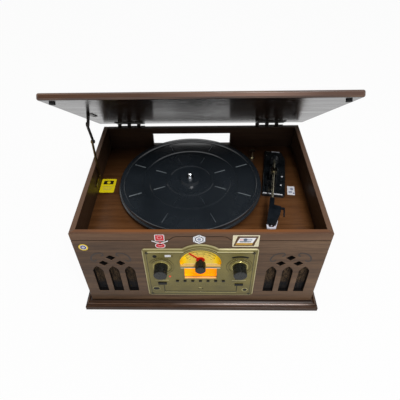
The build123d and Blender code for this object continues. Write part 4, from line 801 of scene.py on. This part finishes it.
# Cream sticker with a leaning brown frame, a gold band and a few plain bars.
framedSticker = {"centre": (0.0745, 0.1985), "rows": [
    (0, 0, 0, (43, 29), "vinylCream", {"corner": 1.5 * mm}),
    (1, -3, 0, (33.5, 24.5), "vinylBrown", {"lean": 6 * mm, "corner": 1 * mm}),
    (2, -3, 0, (26, 16), "vinylWhite", {"lean": 6 * mm}),
    (3, -3.2, -7.2, (27, 5.4), "vinylGold", {"lean": 1.4 * mm}),
    (3, -1, 3.4, 3.4, "vinylSlate", {"sides": 20}),
    (3, 6, 3.4, (8, 2.8), "vinylSmoke", {"corner": 0.8 * mm}),
    (3, -7.5, 3.4, (6, 2.8), "vinylPink", {"corner": 0.8 * mm}),
    (3, -1, -1.4, (19, 2.4), "vinylSlate", {"corner": 0.8 * mm})]}
laySticker("framedSticker", **framedSticker)

# Labels on the deck, left and right of the platter.
leftLabel = {"face": "top", "centre": (-0.187, 0.0226), "rows": [
    (0, 0, 0, (29.5, 41), "vinylLemon", {"corner": 2.5 * mm}),
    (1, 0, 9.5, (20, 11), "inkDark", {"corner": 1.5 * mm}),
    (2, 0, 9.5, 3.6, "vinylLemon", {"sides": 24}),
    (1, 0, -3, (21, 1), "vinylTan", {}),
    (1, 0, -7.5, (18, 1), "vinylTan", {}),
    (1, 0, -12, (15, 1), "vinylTan", {})]}
rightLabel = {"face": "top", "centre": (0.178, 0.006), "rows": [
    (0, 0, 0, (14, 25), "whiteLabelAndGlint", {"corner": 0.8 * mm, "turn": radians(-7)}),
    (1, 2, 4.5, 3.4, "vinylSmoke", {"sides": 20}),
    (1, -2, -4, (7, 5), "vinylSmoke", {"corner": 1 * mm}),
    (1, 4, -7.5, (3, 3), "vinylBlue", {})]}
laySticker("deckLabelLeft", **leftLabel)
laySticker("deckLabelRight", **rightLabel)
print("stickers and labels laid")

# A polished half-round bead lies in the plinth's hollow, along the front and both sides.
bead = {"z": 0.0178, "reach": 7.6 * mm, "radius": 1.7 * mm, "back": 0.1600, "sides": 12, "caseHalf": 0.212}
halfX, frontY = bead["caseHalf"] + bead["reach"], frontFace - bead["reach"]
alongX, alongY = (0, radians(90), 0), (radians(90), 0, 0)
parts = []
for x, rotation, run in ((-halfX, alongX, (2 * halfX, 0, 0)),
        (-halfX, alongY, (0, bead["back"] - frontY, 0)), (halfX, alongY, (0, bead["back"] - frontY, 0))):
    clearSelection()
    bpy.ops.mesh.primitive_circle_add(vertices=bead["sides"], radius=bead["radius"], fill_type="NGON",
        location=(x, frontY, bead["z"]), rotation=rotation)
    rod = bpy.context.object
    applyPlace()
    editAll()
    extrude(run)
    endEdit()
    parts.append(closeUp(rod, "plinthGloss", smooth=True))
settle(parts, "plinthBead")

# Dark arcs of painted shade mark scrolls pressed lightly into the front on both sides of each grille's point.
scroll = {"z": 0.1485, "outerX": 0.170, "innerX": 0.1385, "radius": 18.5 * mm, "curl": 4.2 * mm,
    "width": 2.6 * mm, "depth": 0.3 * mm}


def scrollArc(x, z, radius, start, sweep, steps):
    return addArc((x, frontFace, z), radius, scroll["width"], scroll["depth"], "woodShade",
        start=start, sweep=sweep, steps=steps)


parts = []
for side in (-1, 1):
    for x, start, outward in ((scroll["outerX"], 0, 1), (scroll["innerX"], 90, -1)):
        reach = scroll["radius"] - scroll["curl"]
        parts.append(scrollArc(side * x, scroll["z"], scroll["radius"],
            start if side > 0 else 90 - start, 90, 20))
        parts.append(scrollArc(side * (x + outward * reach), scroll["z"], scroll["curl"], 180, 180, 14))
        parts.append(scrollArc(side * x, scroll["z"] + reach, scroll["curl"], 90 * side * outward, 180, 14))
settle(parts, "frontScrolls")

# Rings round the two side knobs: a bright collar and thinner dark circles outside it.
knobRings = {"x": 0.068, "z": 0.1345, "collar": 13.6 * mm, "collarThick": 1.7 * mm, "proud": 0.5 * mm,
    "circles": (18.5 * mm, 22.6 * mm), "line": 0.6 * mm, "lineDepth": 1.1 * mm}
bright, dark = [], []
for side, start, sweep in ((-1, -100, 250), (1, -80, 300)):
    x, z = side * knobRings["x"], knobRings["z"]
    bright.append(addArc((x, fasciaFace - knobRings["proud"], z), knobRings["collar"],
        knobRings["collarThick"], 0, "paleBrass", rounded=True))
    for radius in knobRings["circles"]:
        dark.append(addArc((x, fasciaFace, z), radius, knobRings["line"], knobRings["lineDepth"],
            "darkBrass", start=start, sweep=sweep, steps=56))
settle(bright, "knobCollars")
settle(dark, "knobCircles")

# A short black pointer standing out from each side knob's cap.
pointer = {"size": (3.4 * mm, 2.4 * mm), "depth": 2.6 * mm, "capY": -0.1727, "out": 11.2 * mm,
    "volume": (-0.068, -52), "function": (0.068, 232)}
for body in ("volume", "function"):
    x, angle = pointer[body][0], radians(pointer[body][1])
    place = (x + pointer["out"] * cos(angle), pointer["capY"] + pointer["depth"] + 0.05 * mm,
        knobRings["z"] + pointer["out"] * sin(angle))
    mark = addPlate(place, pointer["size"], pointer["depth"], "keyBlack", turn=-angle, corner=0.6 * mm,
        ease=0.3 * mm)
    settle([mark], body + "Pointer", body)
print("knob rings and pointers set")


# Lays flat prints from rows: across, up, width, height and corner in millimetres, the finish, and
# where it isn't one coat on the plate, how many coats it has and how many lie under it.
def layPrints(name, rows, y, thin, body="cabinet", others=()):
    parts = []
    for x, z, wide, high, corner, material, *coats in rows:
        depth, under = coats or (1, 0)
        parts.append(addPlate((x * mm, y - under * thin, z * mm), (wide * mm, high * mm), depth * thin,
            material, corner=corner * mm))
    settle(parts + list(others), name, body)


prints = {
    "thin": 0.12 * mm, "plaque": [(-54.6, 164.2, 10, 5.4, 0.8, "vinylWhite")],
    "ink": [(-46.8, 163.5, 2.4, 4.2, 0.4, "darkBrass"),
    (-57.2, 164.2, 1.4, 2.4, 0, "vinylSmoke", 1 / 3, 1),
    (-54.2, 164.2, 1.4, 2.4, 0, "vinylSmoke", 1 / 3, 1),
    (-51.8, 164.2, 1.4, 2.4, 0, "vinylSmoke", 1 / 3, 1),
    (-76.9, 162.7, 7, 7.6, 3.2, "keyBlack", 2, 0),
    (-81.7, 66.2, 12, 8.6, 4, "keyBlack", 1, 1),
    (81.9, 63, 8, 8, 3.8, "keyBlack", 1, 1)],
    "lines": [(-81.7, 66.2, 13.6, 10.8, 5, "vinylTan"), (81.9, 63, 11, 11, 5.2, "vinylTan")],
    "tray": [(-0.6, 68.4, 5, 2, 0, "vinylTan"), (4, 66, 2.6, 2.4, 0, "keyBlack"),
    (-2.2, 65.2, 3.6, 1.6, 0, "keyBlack")]}
# Painted shade: dark lines along the tray's sides and bottom stand for the gap round it.
for side in (-1, 1):
    prints["ink"] += [(side * 69.5, 91.4, 25, 1.1, 0, "inkDark"),
        (side * 66.6, 66.4, 1.2, 21, 0, "keyBlack"),
        (side * 33.8, 56.4, 66, 1.9, 0, "keyBlack")]
    prints["lines"] += [(side * 69.5, 93, 25, 1.9, 0, "vinylTan", 2, 0),
        (side * 33.8, 54.4, 66, 1.4, 0, "vinylTan")]
thin = prints["thin"]
label = addArc((0.068, fasciaFace, 0.128), 34 * mm, 4 * mm, 2 * thin, "keyBlack", 66, 48, 18)
layPrints("fasciaPlaque", prints["plaque"], fasciaFace, thin)
layPrints("fasciaInkAndGapShade", prints["ink"], fasciaFace, thin, others=[label])
layPrints("fasciaLines", prints["lines"], fasciaFace, thin)
led = {"place": (-0.0543, fasciaFace - 0.2 * mm, 0.1053), "radius": 1.9 * mm, "depth": 0.9 * mm}
lamp = addDisc(led["place"], led["radius"], led["depth"], "ledRed", sides=24, ease=0.5 * mm)
settle([lamp], "statusLamp")
layPrints("trayMark", prints["tray"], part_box("cd_tray")[0][1], thin, body="tray")

# Painted shade: dark crosses and rings stand for the shade in the fascia's corner screws' cross recesses and
# round their heads.
recess = {"x": 0.090, "z": (0.0495, 0.1715), "size": (2.6 * mm, 0.6 * mm), "y": -0.15302,
    "depth": 0.05 * mm, "turns": (20, 110), "ring": (2.4 * mm, 0.9 * mm, 0.4 * mm)}
parts = []
for x in (-recess["x"], recess["x"]):
    for z in recess["z"]:
        for turn in recess["turns"]:
            parts.append(addPlate((x, recess["y"], z), recess["size"], recess["depth"], "inkDark",
                turn=radians(turn)))
        parts.append(addArc((x, fasciaFace, z), *recess["ring"], "inkDark", steps=24))
settle(parts, "screwRecesses")

# The divider between the dial's two windows: a black line over a cream one.
divider = {"y": -0.1533, "thin": 0.15 * mm, "rows": [(0.5, 134, 69, 2.6, 0, "keyBlack"),
    (0.5, 131.6, 69, 2.2, 0, "vinylCream")]}
layPrints("dividerLines", divider["rows"], divider["y"], divider["thin"])

# Painted light: plates in the glowing dial card's finish line the dial's pocket, its floor and the ledges
# under the upper window's corners, as if lit by the dial.
pocket = {"y": (-0.1470, -0.1431), "thin": 0.15 * mm,
    "plates": ((0, 0.0982, 63 * mm), (-34 * mm, 0.1323, 5 * mm), (34 * mm, 0.1323, 5 * mm))}
front, back = pocket["y"]
parts = [addPlate((dialCentre[0] + out, (front + back) / 2, z), (wide, back - front), pocket["thin"],
    "dialCard", face="top") for out, z, wide in pocket["plates"]]
settle(parts, "dialPocketGlow")

# The dial's scales, ticks, plain numbers (each row's radius, size and words) and low lines.
dialPrint = {"z": 0.1305, "thin": 0.06 * mm, "outer": 33.4 * mm, "inner": 26.4 * mm, "line": 0.5 * mm,
    "ticks": 27, "numbers": ((28.2 * mm, 2.9 * mm, ("88", "92", "96", "100", "104", "108")),
    (21.8 * mm, 2.4 * mm, ("54", "60", "80", "110", "140", "160")))}
thin, line = dialPrint["thin"], dialPrint["line"]
dialMiddle = (dialCentre[0], dialFaceY, dialPrint["z"])


def onDial(radius, angle, y=dialFaceY):
    return dialMiddle[0] + radius * cos(angle), y, dialMiddle[2] + radius * sin(angle)


parts = [
    addArc(dialMiddle, dialPrint["outer"], line * 1.5, thin * 2, "inkBrown", start=38, sweep=104, steps=40),
    addArc(dialMiddle, dialPrint["inner"], line, thin * 2, "inkBrown", start=28, sweep=124, steps=40)]
for step in range(dialPrint["ticks"]):
    angle = radians(38 + 4 * step)
    long = 1.8 if step % 5 == 1 else 1.0
    parts.append(addPlate(onDial(dialPrint["outer"] - 0.9 * long * mm, angle), (line, long * 1.6 * mm), thin,
        "inkBrown", turn=pi / 2 - angle))
for radius, size, words in dialPrint["numbers"]:
    for step, word in enumerate(words):
        angle = radians(146 - step * 112 / 5)
        clearSelection()
        bpy.ops.object.text_add(location=onDial(radius, angle, dialFaceY - thin),
            rotation=(radians(90), pi / 2 - angle, 0))
        number = bpy.context.object
        number.data.body = word
        number.data.size = size
        number.data.align_x = "CENTER"
        number.data.align_y = "CENTER"
        number.data.extrude = thin
        bpy.ops.object.convert(target="MESH")
        applyPlace()
        parts.append(closeUp(bpy.context.object, "inkBrown"))
settle(parts, "dialNumbers")
layPrints("dialLines", [(0.5 + side * 20.5, 123.6 + step * 2.1, 17, 0.8, 0, "inkPink")
    for side in (-1, 1) for step in range(3)], dialFaceY, thin)

# A bright blade lies over the needle.
blade = {"angle": radians(46), "start": 5 * mm, "end": 27 * mm, "width": 3 * mm, "y": -0.1463,
    "thin": 0.15 * mm}
reach = (blade["start"] + blade["end"]) / 2
place = (dialCentre[0] - reach * sin(blade["angle"]), blade["y"],
    dialCentre[1] + reach * cos(blade["angle"]))
bar = addPlate(place, (blade["width"], blade["end"] - blade["start"]), blade["thin"], "needleRed",
    turn=-blade["angle"])
settle([bar], "needleBlade", "tuning")
print("fascia and dial printed")

# Rounded glossy caps along the platter's pressed ribs.
ribCaps = {"count": 8, "spans": ((52, 75), (99.5, 124)), "width": 1.7 * mm, "height": 0.9 * mm,
    "z": deckTop + 18 * mm, "ease": 0.35 * mm}
parts = []
for index in range(ribCaps["count"]):
    angle = radians((index + 0.5) * 360 / ribCaps["count"])
    for start, end in ribCaps["spans"]:
        out = (start + end) / 2 * mm
        place = (platterCentre[0] + out * cos(angle), platterCentre[1] + out * sin(angle), ribCaps["z"])
        parts.append(addPlate(place, ((end - start) * mm, ribCaps["width"]), ribCaps["height"], "ribGrey",
            face="top", turn=angle, ease=ribCaps["ease"]))
settle(parts, "platterRibs", "platter")


# A place on the tonearm base: millimetres right and forward of the arm's axis and above the deck.
def onBase(right, forward, up, angle=baseAngle):
    return (armAxis[0] + (right * cos(angle) - forward * sin(angle)) * mm,
        armAxis[1] - (right * sin(angle) + forward * cos(angle)) * mm, deckTop + up * mm)


def basePlate(right, forward, up, size, depth, material, corner, ease=0):
    return addPlate(onBase(right, forward, up), (size[0] * mm, size[1] * mm), depth * mm, material,
        face="top", turn=-baseAngle, corner=corner * mm, ease=ease * mm)


def smallScrew(place, radius, depth, material, ease):
    return addDisc(place, radius * mm, depth * mm, material, face="top", sides=20, ease=ease * mm)


# Painted glints: white strips along the tonearm base's edges and white tips on its levers; small chrome
# screws on the yoke.
armGlintsAndScrews = {"height": 6.5, "thin": 0.3, "edge": 2,
    "edges": ((-17, -9.5, 39.2), (-7, 20, 39.2), (-4, 13, -95)),
    "tips": (("speedTipGlint", "speed", 18, -7.5), ("stopTipGlint", "stop", 16, 18.5)), "tipHeight": 11.6,
    "tipSize": (3.2, 2.6), "yokeScrews": (-6.7, 6.7), "yokeTop": 35.3}
parts = [basePlate((left + right) / 2, forward, armGlintsAndScrews["height"], (right - left, armGlintsAndScrews["edge"]),
    armGlintsAndScrews["thin"], "whiteLabelAndGlint", 0.5, 0.1) for left, right, forward in armGlintsAndScrews["edges"]]
parts.append(basePlate(-11, -95, armGlintsAndScrews["height"], (9, 1.6), armGlintsAndScrews["thin"], "dullSteel", 0.4))
settle(parts, "baseEdgeGlintStrips")
for name, body, right, forward in armGlintsAndScrews["tips"]:
    tip = basePlate(right, forward, armGlintsAndScrews["tipHeight"], armGlintsAndScrews["tipSize"], 1.1, "whiteLabelAndGlint", 0.7, 0.3)
    settle([tip], name, body)
parts = [smallScrew(onBase(right, 0, armGlintsAndScrews["yokeTop"], armAngle), 1.15, 0.5, "brightChrome", 0.15)
    for right in armGlintsAndScrews["yokeScrews"]]
settle(parts, "yokeScrews", "arm_yoke")

# Slim links and small screws on the tonearm base.
linkage = {"bars": ((-13.6, 14.5, 1.3, 31), (5, 7, 1.8, 34)), "height": 0.8, "screwRadius": 1.3,
    "screws": ((-14, -81), (-10.5, -60), (1.5, -66), (6, -39))}
parts = [basePlate(right, forward, armGlintsAndScrews["height"], (wide, long), linkage["height"], "leverSteel", 0.4,
    0.15) for right, forward, wide, long in linkage["bars"]]
parts += [smallScrew(onBase(right, forward, armGlintsAndScrews["height"]), linkage["screwRadius"], linkage["height"],
    "dullSteel", 0.2) for right, forward in linkage["screws"]]
settle(parts, "baseLinkage")
print("tonearm trimmed")


# Where a surface is seen, straight, in a reflection or through a clear pane.
def seenDirectly():
    path = addNode("ShaderNodeLightPath")
    seen = maths("MAXIMUM", path.outputs["Is Camera Ray"], path.outputs["Is Glossy Ray"])
    return maths("MAXIMUM", seen, path.outputs["Is Transmission Ray"])


# Pale floor that keeps the object's shadow but shows white behind it.
def paleFloor():
    shader = startMaterial("paleFloor", Roughness=0.7, Base_Color=(0.82, 0.82, 0.82, 1))
    glow = addNode("ShaderNodeEmission", {"Color": (1, 1, 1, 1), "Strength": 1})
    mixed = addNode("ShaderNodeMixShader", {
        "Fac": times(seenDirectly(), 0.94), 1: shader.outputs["BSDF"], 2: glow.outputs["Emission"]})
    connect(desk["tree"].nodes["Material Output"], Surface=mixed.outputs["Shader"])


clearSelection()
bpy.ops.mesh.primitive_plane_add(size=30, location=(0, 0, 0))
floor = bpy.context.object
floor.name = "floor"
paleFloor()
floor.data.materials.append(finish["paleFloor"])

# The world's level on the object, and each lamp's place, target, size and power.
light = {"world": 0.36, "lamps": (("keySoftbox", (0.40, -1.11, 1.89), (0, 0, 0.15), (0.5, 0.5), 29),
    ("topSoftbox", (0, 0.4, 2.2), (0, 0, 0.1), (1.6, 1.2), 5))}
world = bpy.data.worlds.new("studio")
bpy.context.scene.world = world
world.use_nodes = True
desk["tree"] = world.node_tree
connect(world.node_tree.nodes["Background"], Color=(1, 1, 1, 1),
    Strength=ramp(seenDirectly(), 0, 1, light["world"], 1))
for name, place, target, size, power in light["lamps"]:
    lamp = bpy.data.lights.new(name, "AREA")
    lamp.shape = "RECTANGLE"
    lamp.size, lamp.size_y = size
    lamp.energy = power
    lampObject = bpy.data.objects.new(name, lamp)
    bpy.context.collection.objects.link(lampObject)
    lampObject.location = place
    lampObject.rotation_euler = (Vector(target) - Vector(place)).to_track_quat("-Z", "Y").to_euler()
print("floor and lamps placed")

# Camera at the photograph's viewing angle.
view = {"place": (0.00528, -0.54216, 0.67350), "yaw": -2.261, "pitch": 43.585, "roll": -1.726,
    "lens": 33.93, "shiftX": 0.0193, "shiftY": -0.0087}
yaw, pitch, roll = (radians(view[key]) for key in ("yaw", "pitch", "roll"))
forward = Vector((sin(yaw) * cos(pitch), cos(yaw) * cos(pitch), -sin(pitch)))
level = Vector((cos(yaw), -sin(yaw), 0))
upward = level.cross(forward)
across = level * cos(roll) + upward * sin(roll)
above = upward * cos(roll) - level * sin(roll)
camera = bpy.data.cameras.new("camera")
camera.lens = view["lens"]
camera.sensor_width = 36
camera.shift_x = view["shiftX"]
camera.shift_y = view["shiftY"]
camera.clip_start = 0.05
cameraObject = bpy.data.objects.new("camera", camera)
bpy.context.collection.objects.link(cameraObject)
turn = Matrix((across, above, -forward)).transposed()
cameraObject.matrix_world = Matrix.Translation(Vector(view["place"])) @ turn.to_4x4()
bpy.context.scene.camera = cameraObject
bpy.context.scene.view_settings.view_transform = "Standard"
print("camera placed")
